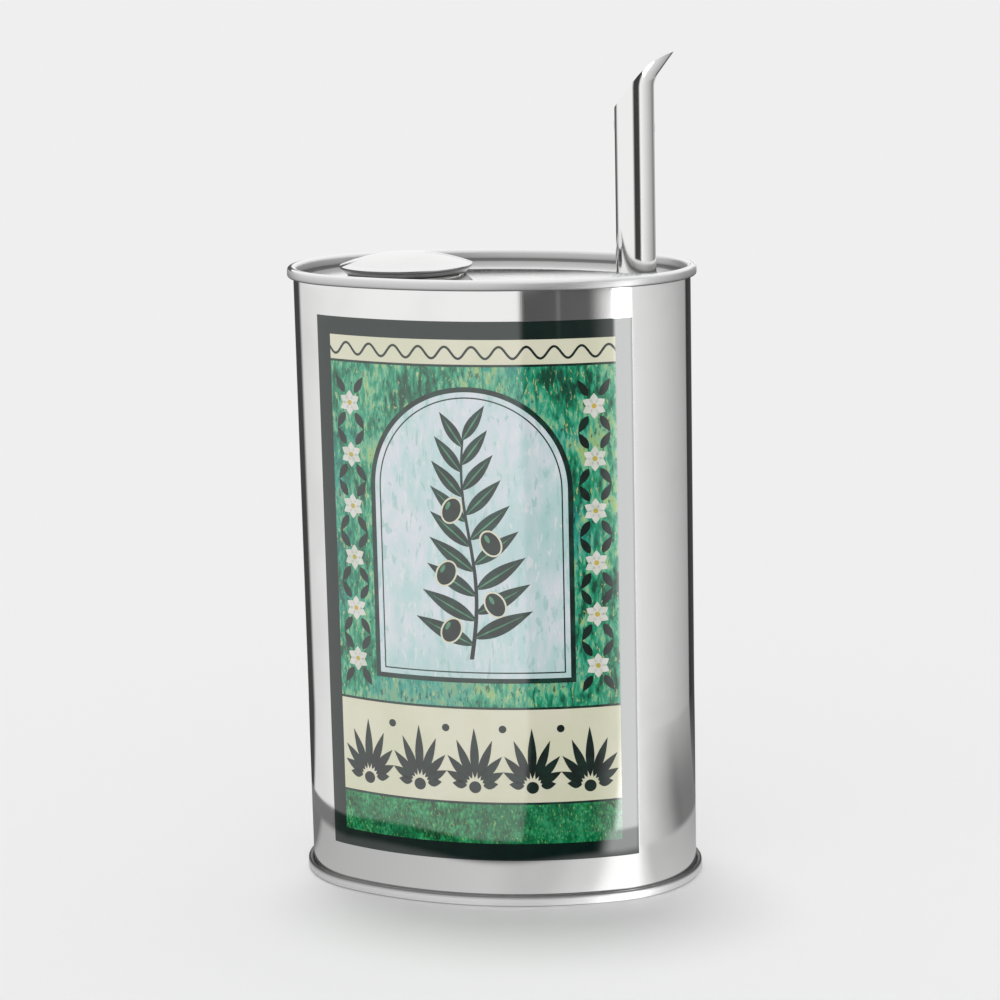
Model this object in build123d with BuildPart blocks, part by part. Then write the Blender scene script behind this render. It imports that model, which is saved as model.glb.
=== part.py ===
from build123d import *
import math
import os

# Olive oil tin with a pouring spout. An oval tinplate can stands on its lower seam, with a push-in
# cap over the filler hole and a fixed spout at one end of the lid.
#
# +X runs along the can's width, towards the spout. The label faces -Y. +Z points up, and the origin
# is the middle of the foot, on the surface that the tin stands on.
#
# "Inset" below is how far a point lies inside the seams' outer face. The oval is drawn with four
# arcs, so a constant inset gives an oval with the same four centres.

os.makedirs("parts", exist_ok=True)

# Driving dimensions, in millimetres

# The can over its seams, with the radius of its rounded ends as a share of half its depth
can_width = 108.0
can_depth = 70.0
can_height = 164.1
end_arc_share = 0.84

# Sheet metal
body_sheet = 0.36
end_sheet = 0.40
layer_gap = 0.12

# Double seams
seam_height = 2.75
hook_pocket = 0.35
hook_play = 0.15

# Top end: a raised panel inside a countersunk groove
panel_drop = 2.75
groove_depth = 1.3
groove_width = 2.4

# Bottom end: a plain recessed panel
base_drop = 4.1

# Lock seam up the back of the can
side_seam_width = 4.5
side_seam_groove = 0.5
side_seam_stop = 1.0

# Label on the front wall
label_width = 82.0
label_height = 141.4
label_foot = 12.2
label_sheet = 0.09
label_glue = 0.08

# Filler ring: a drawn neck soldered into the lid, its middle that far inside the can's end
cap_inset = 31.3
neck_bore_radius = 12.9
neck_depth = 8.4
hole_clearance = 0.1
ring_sheet = 0.38
ring_flange_radius = 15.0

# Cap: a domed cover pressed over a moulded plug
cap_radius = 17.4
cap_edge_drop = 0.25
cap_edge_band = 0.3
cap_dome_rise = 3.65
cap_foot_radius = 15.8
cap_foot_lift = 0.45
cap_sheet = 0.38
plug_wall = 1.0
plug_flange = 1.2
plug_length = 4.0
plug_fit = 0.05
plug_lead = 0.8
seat_play = 0.05
flange_play = 0.06

# Spout, its middle that far inside the can's other end
spout_inset = 15.5
spout_radius = 5.25
spout_wall = 0.4
spout_rise = 54.6
spout_foot_depth = 6.0
spout_fit = 0.05
collar_depth = 2.6
solder_leg = 1.1
solder_film = 0.02
lip_bend_drop = 9.1
lip_bend_radius = 5.7
lip_bend_angle = 36.7
lip_bend_steps = 3
lip_reach = 10.63
mouth_drop = 14.5
mouth_slope = 50.5
mouth_knee_reach = 1.5

# Room that a cutting shape has beyond the metal that it cuts
overrun = 8.0

# The oval of the can, from its width, depth and end radius
half_width = can_width / 2
half_depth = can_depth / 2
end_arc_radius = end_arc_share * half_depth
end_centre = half_width - end_arc_radius
end_rise = half_depth - end_arc_radius
side_centre = (end_centre**2 - end_rise**2) / (2 * end_rise)
side_arc_radius = half_depth + side_centre
end_half_turn = math.degrees(math.atan2(side_centre, end_centre))
side_turn = 180 - 2 * end_half_turn

# Each arc of the oval: its centre, its radius, the direction where it starts, how far it turns
oval_arcs = [
    ((end_centre, 0), end_arc_radius, -end_half_turn, 2 * end_half_turn),
    ((0, -side_centre), side_arc_radius, end_half_turn, side_turn),
    ((-end_centre, 0), end_arc_radius, 180 - end_half_turn, 2 * end_half_turn),
    ((0, side_centre), side_arc_radius, 180 + end_half_turn, side_turn),
]

# Middle lines of the seam's layers, as insets, from the outside in
skirt_line = end_sheet / 2
body_hook_line = end_sheet + layer_gap + body_sheet / 2
cover_hook_line = 1.5 * end_sheet + body_sheet + 2 * layer_gap
wall_line = 2 * end_sheet + 1.5 * body_sheet + 3 * layer_gap
chuck_line = 2.5 * end_sheet + 2 * body_sheet + 4 * layer_gap
wall_face = wall_line - body_sheet / 2
wall_inside = wall_line + body_sheet / 2

# Heights of the seam's folds, measured inward from the seam's crest
fold_line = seam_height - end_sheet / 2
flange_line = end_sheet + layer_gap + body_sheet / 2
cover_hook_end = end_sheet + layer_gap + body_sheet + hook_play
body_hook_end = seam_height - end_sheet - hook_pocket

# The crest's outer corner is bevelled, half a sheet wide
crest_bevel = end_sheet / 2

# Panels and groove, measured inward from the crest
panel_line = panel_drop + end_sheet / 2
groove_line = panel_line + groove_depth
panel_edge = chuck_line + groove_width
base_line = base_drop + end_sheet / 2

# Heights on the finished can
panel_top = can_height - panel_drop
panel_underside = panel_top - end_sheet

# Places of the cap and the spout along the can's width
cap_offset = half_width - cap_inset
spout_offset = half_width - spout_inset

# Filler ring: the lid's hole clears the neck
neck_line = neck_bore_radius + ring_sheet / 2
filler_hole_radius = neck_bore_radius + ring_sheet + hole_clearance


def oval(inset, mode=Mode.ADD):
    """Draws the can's oval in the current sketch, that far inside the seams' outer face."""
    with BuildLine() as outline:
        for centre, radius, start, turn in oval_arcs:
            CenterArc(centre, radius - inset, start, turn)
    make_face(outline.edges(), mode=mode)


def sheet_round_the_can(corners, thickness):
    """Carries a bent sheet round the can's oval; corners are its middle line as (inset, height)."""
    centre, radius, start, _ = oval_arcs[0]
    direction = math.radians(start)
    outward = Vector(math.cos(direction), math.sin(direction), 0)
    upright = Plane(origin=centre, x_dir=outward, z_dir=outward.cross(Vector(0, 0, 1)))
    with BuildLine() as path:
        for arc_centre, arc_radius, arc_start, arc_turn in oval_arcs:
            CenterArc(arc_centre, arc_radius, arc_start, arc_turn)
    with BuildSketch(upright) as section:
        with BuildLine():
            Polyline([(radius - inset, height) for inset, height in corners])
        trace(line_width=thickness)
    sweep(section.sketch, path=path.wires()[0])


def end_rim(crest, inward, floor_line):
    """Gives an end's middle line, from the cover hook's edge round the crest to the chuck wall's foot.

    Inward is -1 for the top end and 1 for the bottom one. The chuck wall stops at the floor line,
    that far in from the crest.
    """
    return [
        (cover_hook_line, crest + inward * cover_hook_end),
        (cover_hook_line, crest + inward * fold_line),
        (skirt_line, crest + inward * fold_line),
        (skirt_line, crest + inward * end_sheet / 2),
        (chuck_line, crest + inward * end_sheet / 2),
        (chuck_line, crest + inward * floor_line),
    ]


# Body wall: one sheet bent round the oval, hooked outward into both seams
with BuildPart() as body_wall:
    wall_corners = [
        (body_hook_line, body_hook_end),
        (body_hook_line, flange_line),
        (wall_line, flange_line),
        (wall_line, can_height - flange_line),
        (body_hook_line, can_height - flange_line),
        (body_hook_line, can_height - body_hook_end),
    ]
    sheet_round_the_can(wall_corners, body_sheet)
    # The lock seam's two folded layers lie inside the wall at the back
    lock_foot = base_line + end_sheet / 2 + side_seam_stop
    lock_head = can_height - groove_line - end_sheet / 2 - side_seam_stop
    with BuildSketch(Plane.XY.offset(lock_foot)):
        oval(wall_inside)
        oval(wall_inside + 2 * body_sheet, mode=Mode.SUBTRACT)
        Rectangle(side_seam_width, can_depth, align=(Align.CENTER, Align.MIN), mode=Mode.INTERSECT)
    extrude(amount=lock_head - lock_foot)
    # Outside, the lock leaves a narrow groove half a sheet deep
    with BuildSketch(Plane.XY.offset(seam_height)):
        with Locations((side_seam_width / 2 - side_seam_groove, half_depth - wall_line)):
            Rectangle(side_seam_groove, overrun, align=(Align.CENTER, Align.MIN))
    extrude(amount=can_height - 2 * seam_height, mode=Mode.SUBTRACT)
body_wall.part.label = "body_wall"
export_step(body_wall.part, "parts/body_wall.step")

# Top end: the lid's seamed rim, groove and raised panel, with the two holes
with BuildPart() as top_end:
    top_corners = [
        *end_rim(can_height, -1, groove_line),
        (panel_edge, can_height - groove_line),
        (panel_edge, can_height - panel_line),
        (panel_edge + end_sheet, can_height - panel_line),
    ]
    sheet_round_the_can(top_corners, end_sheet)
    chamfer(top_end.faces().sort_by(Axis.Z)[-1].outer_wire().edges(), length=crest_bevel)
    with BuildSketch(Plane.XY.offset(panel_underside)):
        oval(panel_edge + end_sheet / 2)
        with Locations((-cap_offset, 0)):
            Circle(filler_hole_radius, mode=Mode.SUBTRACT)
        with Locations((spout_offset, 0)):
            Circle(spout_radius + spout_fit, mode=Mode.SUBTRACT)
    extrude(amount=end_sheet)
    # The spout's hole is drawn down into a collar that grips the tube
    with BuildSketch(Plane.XY.offset(panel_underside)):
        with Locations((spout_offset, 0)):
            Circle(spout_radius + spout_fit + end_sheet)
            Circle(spout_radius + spout_fit, mode=Mode.SUBTRACT)
    extrude(amount=-collar_depth)
top_end.part.label = "top_end"
export_step(top_end.part, "parts/top_end.step")

# Bottom end: the same rim turned over, round a plain recessed panel
with BuildPart() as bottom_end:
    sheet_round_the_can([*end_rim(0, 1, base_line), (chuck_line + end_sheet, base_line)], end_sheet)
    chamfer(bottom_end.faces().sort_by(Axis.Z)[0].outer_wire().edges(), length=crest_bevel)
    with BuildSketch(Plane.XY.offset(base_drop)):
        oval(chuck_line + end_sheet / 2)
    extrude(amount=end_sheet)
bottom_end.part.label = "bottom_end"
export_step(bottom_end.part, "parts/bottom_end.step")

# Front label: a printed sheet glued to the wall
with BuildPart() as front_label:
    with BuildSketch(Plane.XY.offset(label_foot)):
        oval(wall_face - label_glue - label_sheet)
        oval(wall_face - label_glue, mode=Mode.SUBTRACT)
        Rectangle(label_width, can_depth, align=(Align.CENTER, Align.MAX), mode=Mode.INTERSECT)
    extrude(amount=label_height)
front_label.part.label = "front_label"
export_step(front_label.part, "parts/front_label.step")

# Filler ring: a flange on the panel and a neck that reaches down into the tin
neck_axis = Axis((-cap_offset, 0, 0), (0, 0, 1))
neck_plane = Plane(origin=(-cap_offset, 0, panel_top), x_dir=(1, 0, 0), z_dir=(0, -1, 0))
neck_corners = [
    (ring_flange_radius, ring_sheet / 2),
    (neck_line, ring_sheet / 2),
    (neck_line, -neck_depth),
]
with BuildPart() as filler_ring:
    with BuildSketch(neck_plane) as neck_section:
        with BuildLine():
            Polyline(neck_corners)
        trace(line_width=ring_sheet)
    revolve(neck_section.sketch, axis=neck_axis)
filler_ring.part.label = "filler_ring"
export_step(filler_ring.part, "parts/filler_ring.step")

# Cap cover: a domed mushroom shape, shelled from its foot
cap_plane = Plane(origin=(-cap_offset, 0, 0), x_dir=(1, 0, 0), z_dir=(0, -1, 0))
cap_rim_height = can_height - cap_edge_drop
cap_apex_height = cap_rim_height + cap_dome_rise
cap_foot_height = panel_top + cap_foot_lift
dome_shares = [0.3, 0.66, 1]
with BuildPart() as cap_cover:
    with BuildSketch(cap_plane) as cap_section:
        with BuildLine():
            dome = TangentArc(
                (0, cap_apex_height), (cap_radius, cap_rim_height), tangent=(1, 0), mode=Mode.PRIVATE
            )
            # The dome is drawn in straight steps round a flat middle
            dome_points = [dome @ share for share in dome_shares]
            Polyline(
                (0, cap_foot_height),
                (0, dome_points[0].Y),
                *dome_points,
                (cap_radius, cap_rim_height - cap_edge_band),
                (cap_foot_radius, cap_foot_height),
                (0, cap_foot_height),
            )
        make_face()
    revolve(cap_section.sketch, axis=neck_axis)
    offset(amount=-cap_sheet, openings=cap_cover.faces().sort_by(Axis.Z)[0])
cap_cover.part.label = "cap_cover"
export_step(cap_cover.part, "parts/cap_cover.step")

# Cap plug: a moulded cup that fills the neck, with a flange under the cover
flange_foot = panel_top + ring_sheet + seat_play
side_slope = math.atan2(cap_radius - cap_foot_radius, cap_rim_height - cap_edge_band - cap_foot_height)
flange_radius = cap_foot_radius - cap_sheet / math.cos(side_slope) - flange_play
plug_radius = neck_bore_radius - plug_fit
plug_floor = panel_top - plug_length
with BuildPart() as cap_plug:
    with BuildSketch(Plane.XY.offset(plug_floor)):
        with Locations((-cap_offset, 0)):
            Circle(plug_radius)
    extrude(amount=flange_foot - plug_floor)
    chamfer(cap_plug.faces().sort_by(Axis.Z)[0].edges(), length=plug_lead)
    with BuildSketch(Plane.XY.offset(flange_foot)):
        with Locations((-cap_offset, 0)):
            Circle(flange_radius)
    extrude(amount=plug_flange)
    with BuildSketch(Plane.XY.offset(plug_floor + plug_wall)):
        with Locations((-cap_offset, 0)):
            Circle(plug_radius - plug_wall)
    extrude(amount=flange_foot + plug_flange - plug_floor, mode=Mode.SUBTRACT)
cap_plug.part.label = "cap_plug"
export_step(cap_plug.part, "parts/cap_plug.step")

# Spout tube: upright, cut obliquely, its long side bent outward into a pouring lip
spout_foot = panel_top - spout_foot_depth
spout_height = can_height + spout_rise
lip_bend_height = spout_height - lip_bend_drop
mouth_low_height = spout_height - mouth_drop
bend_centre = Vector(spout_offset + spout_radius + lip_bend_radius, 0, lip_bend_height)
bend_step = lip_bend_angle / lip_bend_steps
mouth_rise = math.tan(math.radians(mouth_slope))
mouth_knee_height = mouth_low_height + (spout_radius + mouth_knee_reach) * mouth_rise
mouth_knee = (spout_offset + mouth_knee_reach, mouth_knee_height)
mouth_start = (spout_offset - spout_radius - overrun, mouth_low_height - overrun * mouth_rise)
lip_tip = (spout_offset + lip_reach, spout_height)
mouth_ceiling = spout_height + 2 * overrun
with BuildPart() as spout_tube:
    # The tube turns outward in equal mitred steps about the bend's centre
    with BuildLine() as spout_path:
        route = [Vector(spout_offset, 0, spout_foot)]
        for step in range(lip_bend_steps):
            turn = (step + 0.5) * bend_step
            corner = Vector(-spout_radius - lip_bend_radius, 0, 0) / math.cos(math.radians(bend_step / 2))
            route.append(bend_centre + corner.rotate(Axis.Y, turn))
        heading = Vector(0, 0, 1).rotate(Axis.Y, lip_bend_angle)
        route.append(route[-1] + heading * (spout_height - lip_bend_height))
        Polyline(route)
    with BuildSketch(Plane.XY.offset(spout_foot)):
        with Locations((spout_offset, 0)):
            Circle(spout_radius)
            Circle(spout_radius - spout_wall, mode=Mode.SUBTRACT)
    sweep(transition=Transition.RIGHT)
    # The mouth's cut is a straight slope that rounds over towards the tip
    with BuildSketch(Plane.XZ):
        with BuildLine():
            Line(mouth_start, mouth_knee)
            mouth_round = TangentArc(mouth_knee, lip_tip, tangent=(1, mouth_rise))
            mouth_exit = mouth_round @ 1 + mouth_round % 1 * overrun
            Polyline(
                lip_tip,
                mouth_exit,
                (mouth_exit.X, mouth_ceiling),
                (mouth_start[0], mouth_ceiling),
                mouth_start,
            )
        make_face()
    extrude(amount=spout_radius + overrun, both=True, mode=Mode.SUBTRACT)
spout_tube.part.label = "spout_tube"
export_step(spout_tube.part, "parts/spout_tube.step")

# Solder fillet between the panel and the tube
solder_plane = Plane(origin=(spout_offset, 0, panel_top), x_dir=(1, 0, 0), z_dir=(0, -1, 0))
solder_inside = spout_radius + solder_film
with BuildPart() as spout_solder:
    with BuildSketch(solder_plane) as solder_section:
        Polygon(
            (solder_inside, 0),
            (solder_inside + solder_leg, 0),
            (solder_inside, solder_leg),
            align=None,
        )
    revolve(solder_section.sketch, axis=Axis((spout_offset, 0, 0), (0, 0, 1)))
spout_solder.part.label = "spout_solder"
export_step(spout_solder.part, "parts/spout_solder.step")
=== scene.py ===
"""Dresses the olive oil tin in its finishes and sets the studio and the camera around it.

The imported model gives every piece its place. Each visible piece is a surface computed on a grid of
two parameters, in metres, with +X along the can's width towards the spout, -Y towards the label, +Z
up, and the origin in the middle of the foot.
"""
import logging
import math
from dataclasses import dataclass, field
from enum import Enum

import bmesh
import bpy
import numpy as np
from mathutils import Matrix, Vector
from mathutils.geometry import delaunay_2d_cdt


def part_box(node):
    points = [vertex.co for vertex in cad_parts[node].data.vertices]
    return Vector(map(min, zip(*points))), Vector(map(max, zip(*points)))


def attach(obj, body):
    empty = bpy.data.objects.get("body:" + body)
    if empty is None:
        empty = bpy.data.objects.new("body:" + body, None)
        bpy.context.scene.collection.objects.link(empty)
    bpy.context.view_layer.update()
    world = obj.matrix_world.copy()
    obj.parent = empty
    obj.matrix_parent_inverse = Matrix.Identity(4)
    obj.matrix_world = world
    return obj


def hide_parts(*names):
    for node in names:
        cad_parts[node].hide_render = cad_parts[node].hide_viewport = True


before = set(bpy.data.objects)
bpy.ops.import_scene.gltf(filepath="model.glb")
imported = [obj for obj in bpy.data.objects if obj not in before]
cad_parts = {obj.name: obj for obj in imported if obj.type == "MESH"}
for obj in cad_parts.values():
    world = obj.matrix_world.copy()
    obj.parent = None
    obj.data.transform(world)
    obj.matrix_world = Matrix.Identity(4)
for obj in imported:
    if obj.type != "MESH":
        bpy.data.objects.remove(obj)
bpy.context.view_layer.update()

LOG = logging.getLogger("olive_oil_tin")
MM = 0.001
FULL_TURN = 2 * math.pi
# Name of the mask attribute for roller forming and for the painted shade and highlight bands.
WORK_AND_PAINTED_SHADE = "work_and_painted_shade"
SAME_POINT = 1e-6
LEAF_FULLNESS = 0.8
LEAF_MIDDLE = 0.45

Array = np.ndarray
Colour = tuple[float, float, float]


class Body(Enum):
    """The moving bodies that pieces ride on."""

    TIN = "tin"
    CAP = "cap"


class Slot(Enum):
    """The record's material slots."""

    TINPLATE = "tinplate"
    PLUG = "moulded_plug"
    SOLDER = "solder"
    LABEL = "printed_label"


# Shader graphs


class Signal:
    """A number on a shader socket; each operation on it adds a Math node."""

    def __init__(self, graph: "Graph", socket: bpy.types.NodeSocket) -> None:
        """Wraps the socket of a node in that graph."""
        self.graph = graph
        self.socket = socket

    def math(self, operation: str, *others: "Signal | float") -> "Signal":
        """Adds a Math node of that operation, with this signal first."""
        values = {place: value for place, value in enumerate((self, *others))}
        return self.graph.signal("ShaderNodeMath", {"operation": operation}, values)

    def reflected(self, operation: str, first: float) -> "Signal":
        """Adds a Math node of that operation, with this signal second."""
        return self.graph.signal("ShaderNodeMath", {"operation": operation}, {0: first, 1: self})

    def __add__(self, other: "Signal | float") -> "Signal":
        """Sum."""
        return self.math("ADD", other)

    __radd__ = __add__

    def __mul__(self, other: "Signal | float") -> "Signal":
        """Product."""
        return self.math("MULTIPLY", other)

    __rmul__ = __mul__

    def __sub__(self, other: "Signal | float") -> "Signal":
        """Difference."""
        return self.math("SUBTRACT", other)

    def __rsub__(self, other: float) -> "Signal":
        """Difference, with the number first."""
        return self.reflected("SUBTRACT", other)

    def __truediv__(self, other: "Signal | float") -> "Signal":
        """Quotient."""
        return self.math("DIVIDE", other)

    def between(self, low: float, high: float) -> "Signal":
        """Rises smoothly from 0 at low to 1 at high."""
        settings = {"interpolation_type": "SMOOTHSTEP"}
        return self.graph.signal(
            "ShaderNodeMapRange", settings, {"Value": self, "From Min": low, "From Max": high}
        )


class Graph:
    """The nodes of one material or of the world."""

    def __init__(self, owner: bpy.types.Material | bpy.types.World) -> None:
        """Empties the owner's node tree."""
        owner.use_nodes = True
        self.tree = owner.node_tree
        self.tree.nodes.clear()

    def node(self, kind: str, settings: dict | None = None, values: dict | None = None) -> bpy.types.Node:
        """Adds a node.

        Args:
            kind: Blender's name of the node's type.
            settings: Properties of the node, set first; "stops" holds a ramp's (position, colour).
            values: What each input gets, by name or number: a number, a colour, a signal or an output.

        Returns:
            The new node.
        """
        made = self.tree.nodes.new(kind)
        for key, setting in (settings or {}).items():
            if key == "stops":
                self.set_stops(made.color_ramp, setting)
            else:
                setattr(made, key, setting)
        for key, value in (values or {}).items():
            source = value.socket if isinstance(value, Signal) else value
            if isinstance(source, bpy.types.NodeSocket):
                self.tree.links.new(source, made.inputs[key])
            else:
                made.inputs[key].default_value = source
        return made

    @staticmethod
    def set_stops(ramp: bpy.types.ColorRamp, stops: list[tuple[float, Colour]]) -> None:
        """Gives a ramp its stops, in order of position."""
        while len(ramp.elements) < len(stops):
            ramp.elements.new(1.0)
        for element, (position, _) in zip(ramp.elements, stops):
            element.position = position
        for element, (_, colour) in zip(ramp.elements, stops):
            element.color = (*colour, 1.0)

    def signal(self, kind: str, settings: dict | None = None, values: dict | None = None,
               output: int | str = 0) -> Signal:
        """Adds a node and wraps one of its outputs."""
        return Signal(self, self.node(kind, settings, values).outputs[output])

    def place(self, scale: tuple[float, float, float] = (1.0, 1.0, 1.0),
              turn: float = 0.0) -> bpy.types.NodeSocket:
        """Gives the object's own coordinates, in metres, leant by that turn about Y and stretched."""
        coordinates = self.node("ShaderNodeTexCoord").outputs["Object"]
        values = {"Vector": coordinates, "Rotation": (0.0, turn, 0.0), "Scale": scale}
        return self.node("ShaderNodeMapping", None, values).outputs[0]

    def axes(self) -> tuple[Signal, Signal, Signal]:
        """Gives the object's own x, y and z, in metres."""
        coordinates = self.node("ShaderNodeTexCoord").outputs["Object"]
        split = self.node("ShaderNodeSeparateXYZ", None, {0: coordinates})
        across, depth, height = (Signal(self, output) for output in split.outputs)
        return across, depth, height

    def noise(self, where: bpy.types.NodeSocket, scale: float, detail: float = 2.0,
              distortion: float = 0.0) -> Signal:
        """Adds a noise of that many features to a metre."""
        values = {"Vector": where, "Scale": scale, "Detail": detail, "Distortion": distortion}
        return self.signal("ShaderNodeTexNoise", None, values)

    def ramp(self, factor: Signal, stops: list[tuple[float, Colour]]) -> bpy.types.NodeSocket:
        """Turns a number from 0 to 1 into a colour."""
        return self.node("ShaderNodeValToRGB", {"stops": stops}, {"Fac": factor}).outputs["Color"]

    def blend(self, factor: Signal | float, first: object, second: object) -> bpy.types.NodeSocket:
        """Mixes two colours; a factor of 1 gives the second."""
        first = (*first, 1.0) if isinstance(first, tuple) else first
        second = (*second, 1.0) if isinstance(second, tuple) else second
        made = self.node("ShaderNodeMix", {"data_type": "RGBA"}, {0: factor, 6: first, 7: second})
        return made.outputs[2]

    def bump(self, height: Signal, depth: float) -> bpy.types.NodeSocket:
        """Turns a height from 0 to 1 into a normal; depth is its full relief in metres."""
        return self.node("ShaderNodeBump", None, {"Height": height, "Distance": depth}).outputs[0]

    def surface(self, values: dict) -> None:
        """Ends a material in one principled shader with those values."""
        shader = self.node("ShaderNodeBsdfPrincipled", None, values)
        self.node("ShaderNodeOutputMaterial", None, {"Surface": shader.outputs[0]})


@dataclass(frozen=True)
class Finish:
    """A finish that pieces share; its material is made once."""

    name: str

    def paint(self, graph: Graph) -> None:
        """Builds the finish's nodes."""
        raise NotImplementedError

    def material(self) -> bpy.types.Material:
        """Gives the finish's material, made on the first call."""
        found = bpy.data.materials.get(self.name)
        if found is None:
            found = bpy.data.materials.new(self.name)
            self.paint(Graph(found))
        return found


@dataclass(frozen=True)
class MirrorTinplate(Finish):
    """Mirror-bright tinned steel with the faint vertical grain of its rolling."""

    tone: Colour = (0.86, 0.86, 0.855)
    dull_tone: Colour = (0.80, 0.80, 0.795)
    roughness: float = 0.055
    roughness_spread: float = 0.045
    grain_scale: float = 2600.0
    grain_stretch: tuple[float, float, float] = (1.0, 1.0, 0.02)
    grain_depth: float = 0.0016 * MM
    cloud_scale: float = 38.0
    dull_cloud: tuple[float, float] = (0.45, 0.75)
    rough_cloud: tuple[float, float] = (0.35, 0.7)

    def roughen_and_paint_shade(self, graph: Graph, colour: bpy.types.NodeSocket, rough: Signal) -> tuple:
        """Gives the colour and the roughness with the marks of forming and any painted shade; a plain sheet
        has none.
        """
        return colour, rough

    def paint(self, graph: Graph) -> None:
        """Mixes two tones by a soft cloud, and roughens the surface along the grain."""
        cloud = graph.noise(graph.place(), self.cloud_scale, detail=3.0)
        grain = graph.noise(graph.place(self.grain_stretch), self.grain_scale, detail=3.0)
        colour = graph.blend(cloud.between(*self.dull_cloud), self.tone, self.dull_tone)
        rough = self.roughness + self.roughness_spread * cloud.between(*self.rough_cloud) * grain
        colour, rough = self.roughen_and_paint_shade(graph, colour, rough)
        graph.surface(
            {
                "Base Color": colour,
                "Metallic": 1.0,
                "Roughness": rough,
                "Normal": graph.bump(grain, self.grain_depth),
            }
        )


@dataclass(frozen=True)
class FormedTinplateWithPaintedShade(MirrorTinplate):
    """Tinplate dulled where rollers formed it, with painted shade and painted highlight in its colour as
    tones by the depth from a crest or an edge.

    A piece's work_and_painted_shade attribute says where the forming and the painted tones reach, from 0
    to 1. Each stop is a depth in millimetres and the painted tone there.
    """

    roughness: float = 0.03
    roughness_spread: float = 0.03
    crest: float = 0.0
    inward: float = -1.0
    reach: float = 4.0
    roller_roughness: float = 0.40
    bright_depth: float = 0.2 * MM
    # Painted reflection tones: a painted highlight on the crest, greyer down the skirt, painted shade in the
    # fold.
    painted_shade_stops: tuple[tuple[float, float], ...] = (
        (0.0, 0.88),
        (0.22, 0.86),
        (0.5, 0.72),
        (1.0, 0.64),
        (1.9, 0.54),
        (2.25, 0.42),
        (2.5, 0.17),
        (2.85, 0.17),
        (4.0, 0.45),
    )

    def roughen_and_paint_shade(self, graph: Graph, colour: bpy.types.NodeSocket, rough: Signal) -> tuple:
        """Paints shade and highlight into the formed stretch's colour by its depth, and roughens it where
        rollers worked.
        """
        work_and_painted_shade = graph.signal("ShaderNodeAttribute", {"attribute_name": WORK_AND_PAINTED_SHADE}, None, "Fac")
        height = graph.axes()[2]
        depth = (height - self.crest) * self.inward
        # The painted shade and highlight tones, by depth below the crest or edge.
        stops = [(place / self.reach, (tone,) * 3) for place, tone in self.painted_shade_stops]
        shaded = graph.ramp(depth / (self.reach * MM), stops)
        rolled = work_and_painted_shade * depth.between(self.bright_depth, 3 * self.bright_depth)
        return graph.blend(work_and_painted_shade, colour, shaded), rough + rolled * self.roller_roughness


@dataclass(frozen=True)
class TinSolder(Finish):
    """Smooth tin solder, slightly dulled, with shallow flow marks."""

    tone: Colour = (0.66, 0.67, 0.68)
    dark_tone: Colour = (0.47, 0.475, 0.48)
    flow_scale: float = 900.0
    flow_depth: float = 0.03 * MM
    flow_detail: float = 4.0
    flow_distortion: float = 0.6
    dark_flow: tuple[float, float] = (0.4, 0.7)
    roughness: float = 0.2
    roughness_spread: float = 0.18

    def paint(self, graph: Graph) -> None:
        """Mixes two greys and two roughnesses by the flow marks."""
        flow = graph.noise(graph.place(), self.flow_scale, self.flow_detail, self.flow_distortion)
        graph.surface(
            {
                "Base Color": graph.blend(flow.between(*self.dark_flow), self.tone, self.dark_tone),
                "Metallic": 1.0,
                "Roughness": self.roughness + self.roughness_spread * flow,
                "Normal": graph.bump(flow, self.flow_depth),
            }
        )


@dataclass(frozen=True)
class MouldedPlastic(Finish):
    """Satin off-white polyethylene."""

    tone: Colour = (0.80, 0.79, 0.74)
    worn_tone: Colour = (0.73, 0.72, 0.67)
    mottle_scale: float = 420.0
    pebble_scale: float = 5200.0
    pebble_depth: float = 0.012 * MM
    worn_mottle: tuple[float, float] = (0.35, 0.7)
    roughness: float = 0.38
    roughness_spread: float = 0.12
    glow_through: float = 0.12
    glow_reach: tuple[float, float, float] = (2.0 * MM, 1.8 * MM, 1.4 * MM)

    def paint(self, graph: Graph) -> None:
        """Mottles the tone and gives the surface a fine pebble."""
        mottle = graph.noise(graph.place(), self.mottle_scale, detail=3.0)
        pebble = graph.noise(graph.place(), self.pebble_scale, detail=2.0)
        graph.surface(
            {
                "Base Color": graph.blend(mottle.between(*self.worn_mottle), self.tone, self.worn_tone),
                "Roughness": self.roughness + self.roughness_spread * pebble,
                "Normal": graph.bump(pebble, self.pebble_depth),
                "Subsurface Weight": self.glow_through,
                "Subsurface Radius": self.glow_reach,
            }
        )


@dataclass(frozen=True)
class PrintedInk(Finish):
    """One ink of the label under its gloss varnish, faintly uneven as printing is."""

    tone: Colour = (0.5, 0.5, 0.5)
    second_tone: Colour = (0.5, 0.5, 0.5)
    mottle_scale: float = 260.0
    stretch: tuple[float, float, float] = (1.0, 1.0, 1.0)
    gloss_index: float = 1.92
    gloss_roughness: float = 0.045
    mottle_detail: float = 5.0
    mottle_distortion: float = 0.4
    second_mottle: tuple[float, float] = (0.38, 0.62)

    def colour(self, graph: Graph) -> bpy.types.NodeSocket:
        """Mixes the ink's two tones by a fine mottle."""
        where = graph.place(self.stretch)
        mottle = graph.noise(where, self.mottle_scale, self.mottle_detail, self.mottle_distortion)
        return graph.blend(mottle.between(*self.second_mottle), self.tone, self.second_tone)

    def paint(self, graph: Graph) -> None:
        """Lays the gloss varnish over the colour."""
        graph.surface(
            {
                "Base Color": self.colour(graph),
                "Roughness": self.gloss_roughness,
                "IOR": self.gloss_index,
            }
        )


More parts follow.
